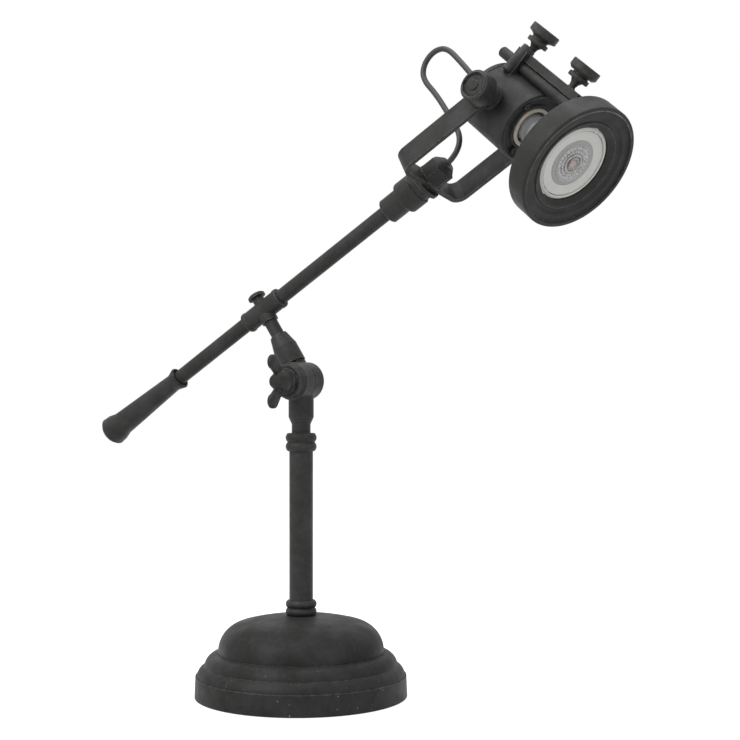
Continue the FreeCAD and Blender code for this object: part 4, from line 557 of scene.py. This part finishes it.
def rounded(outline, steps=6):
    """An outline's corners of (x, y) or (x, y, rounding) in millimetres, rounded, in metres."""
    points = []
    for i, corner in enumerate(outline):
        here = Vector(corner[:2])
        if len(corner) < 3:
            points.append(here)
            continue
        back = (Vector(outline[i - 1][:2]) - here).normalized()
        onward = (Vector(outline[(i + 1) % len(outline)][:2]) - here).normalized()
        half = back.angle(onward) / 2
        centre = here + (back + onward).normalized() * (corner[2] / math.sin(half))
        reach = corner[2] / math.tan(half)
        start, end = here + back * reach - centre, here + onward * reach - centre
        points += [centre + start.slerp(end, step / steps) for step in range(steps + 1)]
    return [(point.x * MM, point.y * MM) for point in points]


def plate_mesh(name, outline, origin, across, along, thickness):
    """A flat piece of even thickness from an outline of (across, along) points in metres."""
    normal = across.cross(along).normalized() * (thickness / 2)
    mesh = bmesh.new()
    flat = [origin + across * x + along * y for x, y in outline]
    front = [mesh.verts.new(place + normal) for place in flat]
    back = [mesh.verts.new(place - normal) for place in flat]
    mesh.faces.new(front)
    mesh.faces.new(list(reversed(back)))
    for i in range(len(flat)):
        j = (i + 1) % len(flat)
        mesh.faces.new([front[i], back[i], back[j], front[j]])
    bmesh.ops.recalc_face_normals(mesh, faces=mesh.faces)
    data = bpy.data.meshes.new(name)
    mesh.to_mesh(data)
    mesh.free()
    return link(bpy.data.objects.new(name, data))


def joined(name, pieces):
    """One mesh object from several, each of which stays a closed shell."""
    mesh = bmesh.new()
    for piece in pieces:
        mesh.from_mesh(piece.data)
        bpy.data.objects.remove(piece)
    data = bpy.data.meshes.new(name)
    mesh.to_mesh(data)
    mesh.free()
    return link(bpy.data.objects.new(name, data))


def soften(obj, width):
    """Rounds the rim of a flat piece."""
    mesh = bmesh.new()
    mesh.from_mesh(obj.data)
    limit = math.radians(RIM_ANGLE)
    rims = [e for e in mesh.edges if len(e.link_faces) == 2 and e.calc_face_angle(0) > limit]
    bmesh.ops.bevel(mesh, geom=rims, offset=width, segments=3, affect="EDGES", profile=0.5)
    mesh.to_mesh(obj.data)
    mesh.free()


def plain_mesh(obj):
    """The mesh that an object's curve or modifiers make."""
    graph = bpy.context.evaluated_depsgraph_get()
    return bpy.data.meshes.new_from_object(obj.evaluated_get(graph))


def give(obj, material, body):
    """Finishes a new piece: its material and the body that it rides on."""
    obj.data.materials.clear()
    obj.data.materials.append(material)
    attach(obj, body)


def dress(obj, node, finish=None):
    """A new mesh that stands for a carried-over piece, with that piece's body, slot and finish."""
    give(obj, finish or NODES[node].material_slots[0].material, body_of(node))
    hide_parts(node)


# ---------------------------------------------------------------- turned pieces

class LAMP_OT_ring(Operator):
    """Turns the big ring with its dished face, and the funnel that leads to the bulb"""
    bl_idname = "searchlight.ring"
    bl_label = "Big ring"

    def execute(self, context):
        rear, front = extent_mm("lamp_ring", FORWARD)
        seat = extent_mm("retaining_ring", FORWARD)[0]
        ring = turned("big_ring", [
            (33.5, rear - 2.0), (52.2, rear - 2.0, 0.9), (52.2, front, 0.9),
            (49.2, front, 0.6), (48.2, front - 1.6, 0.9), (42.6, front - 1.8, 1.0), (40.6, front - 3.6, 0.9),
            (37.6, front - 4.2), (37.6, seat), (33.5, seat)], PIVOT, FORWARD, steps=192)
        dress(ring, "lamp_ring")
        funnel = turned("ring_funnel", [
            (31.95, seat), (37.5, seat), (37.5, front - 3.9, 0.4), (36.0, front - 4.0, 1.0),
            (31.95, front - 6.9, 0.7)], PIVOT, FORWARD, steps=192)
        dress(funnel, "retaining_ring")
        return {"FINISHED"}


class LAMP_OT_housing(Operator):
    """Turns the housing with its rolled rim, the front plate, its screws and the porcelain rim"""
    bl_idname = "searchlight.housing"
    bl_label = "Housing"

    def execute(self, context):
        sizes = context.scene.lamp_sizes
        rear, front = extent_mm("housing", FORWARD)
        rim = front + sizes.rim_roll / MM
        shell = turned("housing_shell", [
            (27.0, rear), (28.7, rear), (28.7, rear + 0.8), (29.2, rear + 1.2), (29.2, rim, 0.9),
            (27.3, rim, 0.5), (27.0, rim - 1.5)], PIVOT, FORWARD, steps=160)
        dress(shell, "housing")
        face = rim - 1.6
        plate = turned("housing_front", [
            (17.9, face - 2.0), (26.9, face - 2.0), (26.9, face), (26.0, face, 0.4), (25.4, face - 0.5, 0.4),
            (19.4, face - 0.5, 0.4), (18.8, face, 0.3), (17.9, face, 0.3)], PIVOT, FORWARD, steps=160)
        dress(plate, "front_plate")
        porcelain = turned("porcelain_rim", [
            (14.0, face - 12), (17.4, face - 12), (17.4, face + 1.9, 1.2), (14.2, face + 1.9, 0.9)],
            PIVOT, FORWARD, steps=128)
        dress(porcelain, "lampholder")
        screws = []
        screw_circle = 22.2 * MM
        for degrees in (150, 270, 30):
            angle = math.radians(degrees)
            side = (UPWARD * math.sin(angle) - ACROSS * math.cos(angle)) * screw_circle
            screws.append(turned("screw", [
                (0, face - 6), (1.4, face - 6), (1.4, face - 0.6), (2.5, face - 0.6), (2.4, face + 0.5, 0.5),
                (0.9, face + 0.8), (0.8, face + 0.2), (0, face + 0.2)], PIVOT + side, FORWARD, steps=24,
                closed=False))
        dress(joined("front_screws", screws), "plate_screws")
        return {"FINISHED"}


class LAMP_OT_thumb_screws(Operator):
    """Turns the two large thumb screws of the rail with their stepped, rounded heads"""
    bl_idname = "searchlight.thumb_screws"
    bl_label = "Thumb screws"

    def execute(self, context):
        # A lighter copy of the gunmetal coat: painted light, since the screws' heads stand high where the light
        # falls
        coat = gunmetal("Thumb screw coat with painted light", 260.0, 0.7, tone=1.7, rubbed_tone=1.5)
        rail_top = extent_mm("rail", UPWARD)[1]
        # Heights above the pivot: underside of the flange, underside of the head, top of the head
        for side, flange, head, top in (("rear", 51.7, 59.4, 65.7), ("front", 50.2, 57.4, 63.5)):
            seat = Vector(JOINTS[f"rail_screw_{side}_turn"]["pos_m"])
            screw = turned(f"thumb_screw_{side}", [
                (0, rail_top - 7.0), (2.8, rail_top - 7.0), (2.8, rail_top - 0.2), (3.7, rail_top + 0.1),
                (3.1, rail_top + 1.4, 0.6), (3.4, flange - 2.8, 1.0), (5.4, flange - 0.3, 0.8),
                (8.9, flange + 0.1, 0.9), (8.9, flange + 3.5, 0.9), (7.6, flange + 4.0, 0.4),
                (7.6, flange + 4.8, 0.3), (9.6, head - 1.6, 0.5), (12.2, head, 0.9), (12.2, top, 0.9),
                (0, top)], seat, UPWARD, steps=96, closed=False)
            dress(screw, f"rail_screw_{side}", coat)
        return {"FINISHED"}


class LAMP_OT_pivot_knobs(Operator):
    """Turns the two pivot knobs with their ring groove and middle boss"""
    bl_idname = "searchlight.pivot_knobs"
    bl_label = "Pivot knobs"

    def execute(self, context):
        for side in ("near", "far"):
            joint = JOINTS[f"pivot_knob_{side}_turn"]
            seat, axis = Vector(joint["pos_m"]), Vector(joint["axis"])
            rear, nub = extent_mm(f"pivot_knob_{side}", axis, seat)
            front = nub - 0.5
            knob = turned(f"knob_{side}", [
                (0, rear), (12.2, rear, 0.5), (12.9, rear + 1.1, 0.4), (12.9, front, 1.3),
                (10.4, front, 0.4), (9.4, front - 0.9, 0.5), (7.4, front - 0.5, 0.8),
                (4.4, front - 0.1, 0.5), (3.6, front + 0.5, 0.6), (0, front + 0.5)], seat, axis, steps=96,
                closed=False)
            dress(knob, f"pivot_knob_{side}")
        return {"FINISHED"}


class LAMP_OT_bracket(Operator):
    """Makes the slide rod with its rounded end and the rounded cheek of the bracket block"""
    bl_idname = "searchlight.bracket"
    bl_label = "Bracket and rod"

    def execute(self, context):
        rear, front = extent_mm("slide_rod", FORWARD)
        low, high = extent("slide_rod", UPWARD)
        near, far = extent("slide_rod", ACROSS)
        middle = PIVOT + UPWARD * ((low + high) / 2) + ACROSS * ((near + far) / 2)
        radius = (high - low) / 2 / MM + 0.28
        rod = turned("rod", [(0, rear), (radius, rear, 1.2), (radius, front, 0.4), (0, front)],
                     middle, FORWARD, steps=64, closed=False)
        dress(rod, "slide_rod")
        foot, crown = head_point(-13.7, 20.5, -21.5), head_point(-13.7, 46.4, -14.6)
        length = (crown - foot).length / MM
        cheek = turned("block_cheek", [
            (0, 0), (5.8, 0, 2.6), (5.8, length, 0.9), (0, length)], foot, (crown - foot).normalized(),
            steps=64, closed=False)
        # A lighter copy of the gunmetal coat: painted light on the lit side of the bracket block
        coat = gunmetal("Cheek coat with painted light", 90.0, 0.8, tone=1.3, rubbed_tone=1.4)
        give(cheek, coat, "head")
        return {"FINISHED"}


class LAMP_OT_wing_nut(Operator):
    """Makes the wing nut: a full, rounded hub with two short wings"""
    bl_idname = "searchlight.wing_nut"
    bl_label = "Wing nut"

    def execute(self, context):
        joint = JOINTS["wing_turn"]
        seat, axis = Vector(joint["pos_m"]), Vector(joint["axis"])
        hub = turned("hub", [
            (4.05, 0.1), (10.7, 0.1), (10.7, 2.2, 0.5), (9.9, 2.3), (10.0, 8.0, 2.0), (7.2, 17.6, 3.0),
            (0, 17.6), (0, 15.4), (4.05, 15.4)], seat, axis, steps=96)
        wings = []
        lobe, centre = 6.2, Vector((16.2, 18.4))
        arc = [centre + Vector((math.cos(a), math.sin(a))) * lobe
               for a in (math.radians(-65 + 10 * i) for i in range(24))]
        for side in (1, -1):
            outline = [(side * x * MM, y * MM) for x, y in [(7.0, 3.6), *arc, (5.6, 14.2)]]
            wing = plate_mesh("wing", outline, seat, Vector((0, 0, 1)), axis, 4.4 * MM)
            soften(wing, 1.3 * MM)
            wings.append(wing)
        nut = joined("wing_nut_whole", [hub, *wings])
        nut.data.shade_smooth()
        sharpen(nut, 35)
        dress(nut, "wing_nut")
        return {"FINISHED"}


class LAMP_OT_counterweight(Operator):
    """Turns the tapered counterweight with its bevelled end"""
    bl_idname = "searchlight.counterweight"
    bl_label = "Counterweight"

    def execute(self, context):
        centre = Vector(JOINTS["fork_roll"]["pos_m"])
        rear, front = extent_mm("counterweight", ARM, centre)
        weight = turned("counterweight_whole", [
            (0, rear), (10.6, rear, 1.6), (13.3, rear + 3.6, 1.2), (14.7, rear + 9.5, 3.0),
            (14.7, rear + 17.0, 5.0), (10.7, front - 8.0, 4.0), (10.2, front, 1.3), (8.4, front),
            (7.9, front - 3.0), (6.5, front - 3.0), (6.5, front - 40.0), (0, front - 40.0)],
            centre, ARM, steps=128, closed=False)
        dress(weight, "counterweight")
        return {"FINISHED"}


# ---------------------------------------------------------------- lead

def lead_curve(points, diameter):
    """A round cord that follows the points smoothly, from the first to the last."""
    curve = bpy.data.curves.new("lead_route", "CURVE")
    curve.dimensions = "3D"
    spline = curve.splines.new("NURBS")
    spline.points.add(len(points) - 1)
    for point, place in zip(spline.points, points):
        point.co = (*place, 1.0)
    spline.order_u = 3
    spline.use_endpoint_u = True
    curve.resolution_u = 12
    curve.bevel_depth = diameter / 2
    curve.bevel_resolution = 5
    curve.use_fill_caps = True
    return curve


class LAMP_OT_lead(Operator):
    """Makes the lead that loops from the fork's gland to the rear cap of the head"""
    bl_idname = "searchlight.lead"
    bl_label = "Lead"

    def execute(self, context):
        sizes = context.scene.lamp_sizes
        points = [head_point(*place) for place in LEAD_ROUTE]
        curve = lead_curve(points, sizes.lead_diameter)
        tube = link(bpy.data.objects.new("lead_tube", curve))
        lead = link(bpy.data.objects.new("lead", plain_mesh(tube)))
        curve.bevel_depth = 0
        path = [tuple(v.co) for v in plain_mesh(tube).vertices]
        bpy.data.objects.remove(tube)
        lead.data.shade_smooth()
        lead.data.materials.clear()
        lead.data.materials.append(bpy.data.materials["Lead sheath"])
        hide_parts("cable_loop")
        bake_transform(lead)
        return {"FINISHED"}


# ---------------------------------------------------------------- reflector bulb

FACET_RINGS = 4
FACET_OVERLAP = 1.1     # a facet is this much wider than its share of the ring
FACET_SUBDIVISIONS = 2
FACETS_FROM, FACETS_TO = 0.2, 0.93      # where the rings of facets begin and end, in the lens's radius
FACET_RISE = 2.65 * MM  # how far the middle of the rings stands in front of their edge
FACET_SEAT = 1.97       # millimetres from the bulb's front edge back to the edge of the rings


def optic_facets_tree(count, inner, outer):
    """Geometry nodes: rings of small round facets that stand a little out of the bulb's lens."""
    tree = bpy.data.node_groups.new("Optic facets", "GeometryNodeTree")
    face = tree.interface
    face.new_socket("Geometry", in_out="INPUT", socket_type="NodeSocketGeometry")
    for label, kind, value in (("Facets", "NodeSocketInt", count), ("Inner", "NodeSocketFloat", inner),
                               ("Outer", "NodeSocketFloat", outer), ("Rise", "NodeSocketFloat", 0.004)):
        socket = face.new_socket(label, in_out="INPUT", socket_type=kind)
        socket.default_value = value
    face.new_socket("Material", in_out="INPUT", socket_type="NodeSocketMaterial")
    face.new_socket("Geometry", in_out="OUTPUT", socket_type="NodeSocketGeometry")
    start = tree.nodes.new("NodeGroupInput")
    end = tree.nodes.new("NodeGroupOutput")
    join = tree.nodes.new("GeometryNodeJoinGeometry")
    for ring in range(FACET_RINGS):
        share = (ring + 0.5) / FACET_RINGS
        mix = add_node(tree, "ShaderNodeMix", data_type="FLOAT", Factor=share)
        for index, label in zip(MIX_FLOATS_IN, ("Inner", "Outer")):
            feed(tree, mix.inputs[index], start.outputs[label])
        radius = mix.outputs[0]
        circle = add_node(tree, "GeometryNodeMeshCircle", fill_type="NONE", Radius=radius,
                          Vertices=start.outputs["Facets"])
        ball = add_node(tree, "GeometryNodeMeshIcoSphere", Subdivisions=FACET_SUBDIVISIONS,
                        Radius=product(tree, radius, math.pi / count * FACET_OVERLAP))
        put = add_node(tree, "GeometryNodeInstanceOnPoints", Points=circle.outputs["Mesh"],
                       Instance=ball.outputs["Mesh"])
        rise = add_node(tree, "ShaderNodeCombineXYZ", Z=product(tree, start.outputs["Rise"], 1.0 - share))
        lift = add_node(tree, "GeometryNodeTransform", Geometry=put.outputs["Instances"],
                        Translation=rise.outputs[0], Rotation=(0, 0, math.pi / count * (ring % 2)))
        wire(tree, lift.outputs["Geometry"], join.inputs["Geometry"])
    real = add_node(tree, "GeometryNodeRealizeInstances", Geometry=join.outputs["Geometry"])
    paint = add_node(tree, "GeometryNodeSetMaterial", Geometry=real.outputs["Geometry"],
                     Material=start.outputs["Material"])
    wire(tree, paint.outputs["Geometry"], end.inputs["Geometry"])
    return tree


def set_input(modifier, label, value):
    """Sets a modifier's input by the identifier of its socket."""
    for socket in modifier.node_group.interface.items_tree:
        if socket.name == label and socket.in_out == "INPUT":
            modifier[socket.identifier] = value
            return
    raise RuntimeError(f"{modifier.node_group.name} has no input {label}")


def nodes_to_mesh(name, tree, values, matrix):
    """Evaluates a geometry node tree and returns its result as a plain mesh object in place."""
    holder = link(bpy.data.objects.new(name + "_source", bpy.data.meshes.new(name + "_source")))
    modifier = holder.modifiers.new("Make", "NODES")
    modifier.node_group = tree
    for label, value in values.items():
        set_input(modifier, label, value)
    mesh = plain_mesh(holder)
    bpy.data.objects.remove(holder)
    mesh.transform(matrix)
    mesh.name = name
    return link(bpy.data.objects.new(name, mesh))


def head_matrix(along):
    """Places a piece made round Z on the head's axis, facing forward."""
    matrix = Matrix((-ACROSS, UPWARD, FORWARD)).transposed().to_4x4()
    matrix.translation = PIVOT + FORWARD * along
    return matrix


class LAMP_OT_bulb(Operator):
    """Makes the reflector bulb: slender neck, frosted ring, faceted lens and the warm spot in its middle"""
    bl_idname = "searchlight.bulb"
    bl_label = "Reflector bulb"

    def execute(self, context):
        sizes = context.scene.lamp_sizes
        front = extent_mm("bulb_reflector", FORWARD)[1]
        optic = sizes.optic_radius / MM
        flank = turned("bulb_flank", [
            (0, 23.8), (12.2, 23.8), (12.4, 34.0), (13.4, 51.0, 12.0), (29.8, front - 9.0, 8.0),
            (31.3, front - 2.6, 1.5), (31.3, front, 1.1), (29.2, front, 0.5), (28.5, front - 1.3),
            (28.5, front - 3.2), (0, front - 3.2)], PIVOT, FORWARD, steps=160, closed=False)
        dress(flank, "bulb_reflector")
        ring = turned("bulb_front_ring", [
            (19.4, front - 3.1), (27.6, front - 3.1), (27.6, front - 0.7, 0.5), (26.3, front - 0.6, 1.0),
            (24.0, front - 1.7, 2.0), (19.4, front - 2.0, 0.4)], PIVOT, FORWARD, steps=160)
        dress(ring, "bulb_lens")
        self.fit_collar(front, optic)
        self.fit_lens(front, optic, sizes.optic_facets)
        return {"FINISHED"}

    def fit_collar(self, front, optic):
        """The silver collar that holds the lens."""
        silver = plain("Optic silver", (0.47, 0.46, 0.455), 0.4, scale=700, depth=0.0003)
        collar = turned("bulb_optic_collar", [
            (0, front - 3.1), (19.2, front - 3.1), (19.2, front - 1.6, 0.4), (18.2, front - 1.0, 0.6),
            (optic + 0.5, front - 1.2, 0.4), (optic + 0.1, front - 2.6),
            (0, front - 2.6)], PIVOT, FORWARD, steps=160, closed=False)
        give(collar, silver, "head")

    def fit_lens(self, front, optic, count):
        """The domed lens, the rings of facets on it and the warm spot in the middle."""
        face = plain("Lens face", (0.54, 0.53, 0.525), 0.3, scale=420, spread=0.1, depth=0.0003)
        dome = turned("bulb_clear_lens", [
            (0, front - 1.0), (optic, front - 1.0), (optic, front - 0.7, 0.1),
            (optic * 0.9, front - 0.2, 2.0), (optic * 0.6, front + 0.5, 6.0), (0, front + 0.9)],
            PIVOT, FORWARD, steps=128, closed=False)
        give(dome, face, "head")
        # The facets are real, but they are clear in the bulb; their pale tone is painted glints
        pale = plain("Optic facets", (0.78, 0.77, 0.76), 0.15, scale=300, spread=0.2, depth=0.0003)
        inner, outer = optic * FACETS_FROM * MM, optic * FACETS_TO * MM
        facets = nodes_to_mesh(
            "bulb_optic_facets", optic_facets_tree(count, inner, outer),
            {"Facets": count, "Inner": inner, "Outer": outer, "Rise": FACET_RISE, "Material": pale},
            head_matrix((front - FACET_SEAT) * MM))
        facets.data.shade_smooth()
        give(facets, pale, "head")
        warm = plain("Light chip", (0.60, 0.46, 0.44), 0.4, scale=600, spread=0.08)
        chip = turned("bulb_light_chip", [
            (0, front - 0.5), (2.6, front - 0.5), (2.6, front + 0.75, 0.2), (0, front + 0.92)],
            PIVOT - UPWARD * (0.6 * MM) + ACROSS * (1.6 * MM), FORWARD, steps=48, closed=False)
        give(chip, warm, "head")


# ---------------------------------------------------------------- studio

FLOOR_REACH = 12.0      # metres from the column to the floor's edges
FLOOR_TONE = (0.60, 0.60, 0.60, 1.0)
FLOOR_GLOW = 0.92       # how pale the floor is where it is seen
SENSOR_WIDTH = 36       # millimetres
LAMP_MIDDLE = (0.03, 0, 0.28)

# Soft boxes: place (towards the camera, to its right, up) and size in metres, share of the key's power,
# colour
SOFT_BOXES = (
    ("key", (1.1, -1.2, 1.5), (1.2, 1.2), 1.0, (1.0, 0.99, 0.97)),
    ("fill", (1.3, 1.4, 0.9), (1.2, 1.4), 0.34, (0.95, 0.97, 1.0)),
    ("top", (0.0, 0.0, 1.9), (1.4, 1.4), 0.62, (0.97, 0.98, 1.0)),
)


def studio_floor():
    mesh = bpy.data.meshes.new("floor")
    far = FLOOR_REACH
    mesh.from_pydata([(-far, -far, 0), (far, -far, 0), (far, far, 0), (-far, far, 0)], [], [(0, 1, 2, 3)])
    floor = link(bpy.data.objects.new("floor", mesh))
    material, tree, shader = new_material("Floor")
    fill_in(tree, shader, Base_Color=FLOOR_TONE, Roughness=1.0, Specular_IOR_Level=0.0,
            Emission_Color=(1, 1, 1, 1), Emission_Strength=product(tree, seen_directly(tree), FLOOR_GLOW))
    mesh.materials.append(material)


def soft_box(name, place, size, power, colour):
    light = bpy.data.lights.new(name, "AREA")
    light.shape = "RECTANGLE"
    light.size, light.size_y = size
    light.energy = power
    light.color = colour
    box = link(bpy.data.objects.new(name, light))
    box.location = place
    box.rotation_euler = (Vector(LAMP_MIDDLE) - place).to_track_quat("-Z", "Y").to_euler()


def light_world(scene, strength):
    """White where it is seen, and a soft light of the given strength on the lamp."""
    world = scene.world or bpy.data.worlds.new("World")
    scene.world = world
    world.use_nodes = True
    tree = world.node_tree
    level = maths(tree, "ADD", product(tree, seen_directly(tree), 1.0 - strength), strength)
    fill_in(tree, tree.nodes["Background"], Color=(1, 1, 1, 1), Strength=level)


class LAMP_OT_studio(Operator):
    """Makes the pale floor, the soft light and the camera"""
    bl_idname = "searchlight.studio"
    bl_label = "Studio"

    def execute(self, context):
        set_up = context.scene.lamp_studio
        away = Vector((math.sin(set_up.turn), -math.cos(set_up.turn), 0))
        right = Vector((math.cos(set_up.turn), math.sin(set_up.turn), 0))
        camera = bpy.data.cameras.new("Camera")
        camera.lens = set_up.lens
        camera.sensor_width = SENSOR_WIDTH
        view = link(bpy.data.objects.new("Camera", camera))
        view.location = away * set_up.distance + right * set_up.side + Vector((0, 0, set_up.height))
        view.rotation_euler = (math.pi / 2, 0, set_up.turn)
        context.scene.camera = view

        studio_floor()
        for name, (towards, sideways, up), size, share, colour in SOFT_BOXES:
            place = away * towards + right * sideways + Vector((0, 0, up))
            soft_box(name, place, size, set_up.key * share, colour)
        light_world(context.scene, set_up.surround)
        context.scene.view_settings.view_transform = "Standard"
        return {"FINISHED"}


# ---------------------------------------------------------------- panel and registration

class LAMP_PT_sidebar(Panel):
    bl_idname = "LAMP_PT_sidebar"
    bl_label = "Searchlight Lamp"
    bl_space_type = "VIEW_3D"
    bl_region_type = "UI"
    bl_category = "Searchlight Lamp"

    def draw(self, context):
        for group in (context.scene.lamp_finish, context.scene.lamp_sizes, context.scene.lamp_studio):
            box = self.layout.box()
            for name in group.bl_rna.properties.keys():
                if name not in {"rna_type", "name"}:
                    box.prop(group, name)
        for operator in OPERATORS:
            self.layout.operator(operator.bl_idname)


OPERATORS = (LAMP_OT_finishes, LAMP_OT_ring, LAMP_OT_housing, LAMP_OT_thumb_screws, LAMP_OT_pivot_knobs,
             LAMP_OT_bracket, LAMP_OT_wing_nut, LAMP_OT_counterweight, LAMP_OT_lead, LAMP_OT_bulb,
             LAMP_OT_studio)
CLASSES = (LampFinish, LampSizes, LampStudio, *OPERATORS, LAMP_PT_sidebar)


def register():
    for cls in CLASSES:
        bpy.utils.register_class(cls)
    bpy.types.Scene.lamp_finish = PointerProperty(type=LampFinish)
    bpy.types.Scene.lamp_sizes = PointerProperty(type=LampSizes)
    bpy.types.Scene.lamp_studio = PointerProperty(type=LampStudio)


def unregister():
    del bpy.types.Scene.lamp_studio
    del bpy.types.Scene.lamp_sizes
    del bpy.types.Scene.lamp_finish
    for cls in reversed(CLASSES):
        bpy.utils.unregister_class(cls)


def main():
    register()
    bpy.ops.searchlight.finishes()
    bpy.ops.searchlight.ring()
    bpy.ops.searchlight.housing()
    bpy.ops.searchlight.thumb_screws()
    bpy.ops.searchlight.pivot_knobs()
    bpy.ops.searchlight.bracket()
    bpy.ops.searchlight.wing_nut()
    bpy.ops.searchlight.counterweight()
    bpy.ops.searchlight.lead()
    bpy.ops.searchlight.bulb()
    bpy.ops.searchlight.studio()


if __name__ == "__main__":
    main()
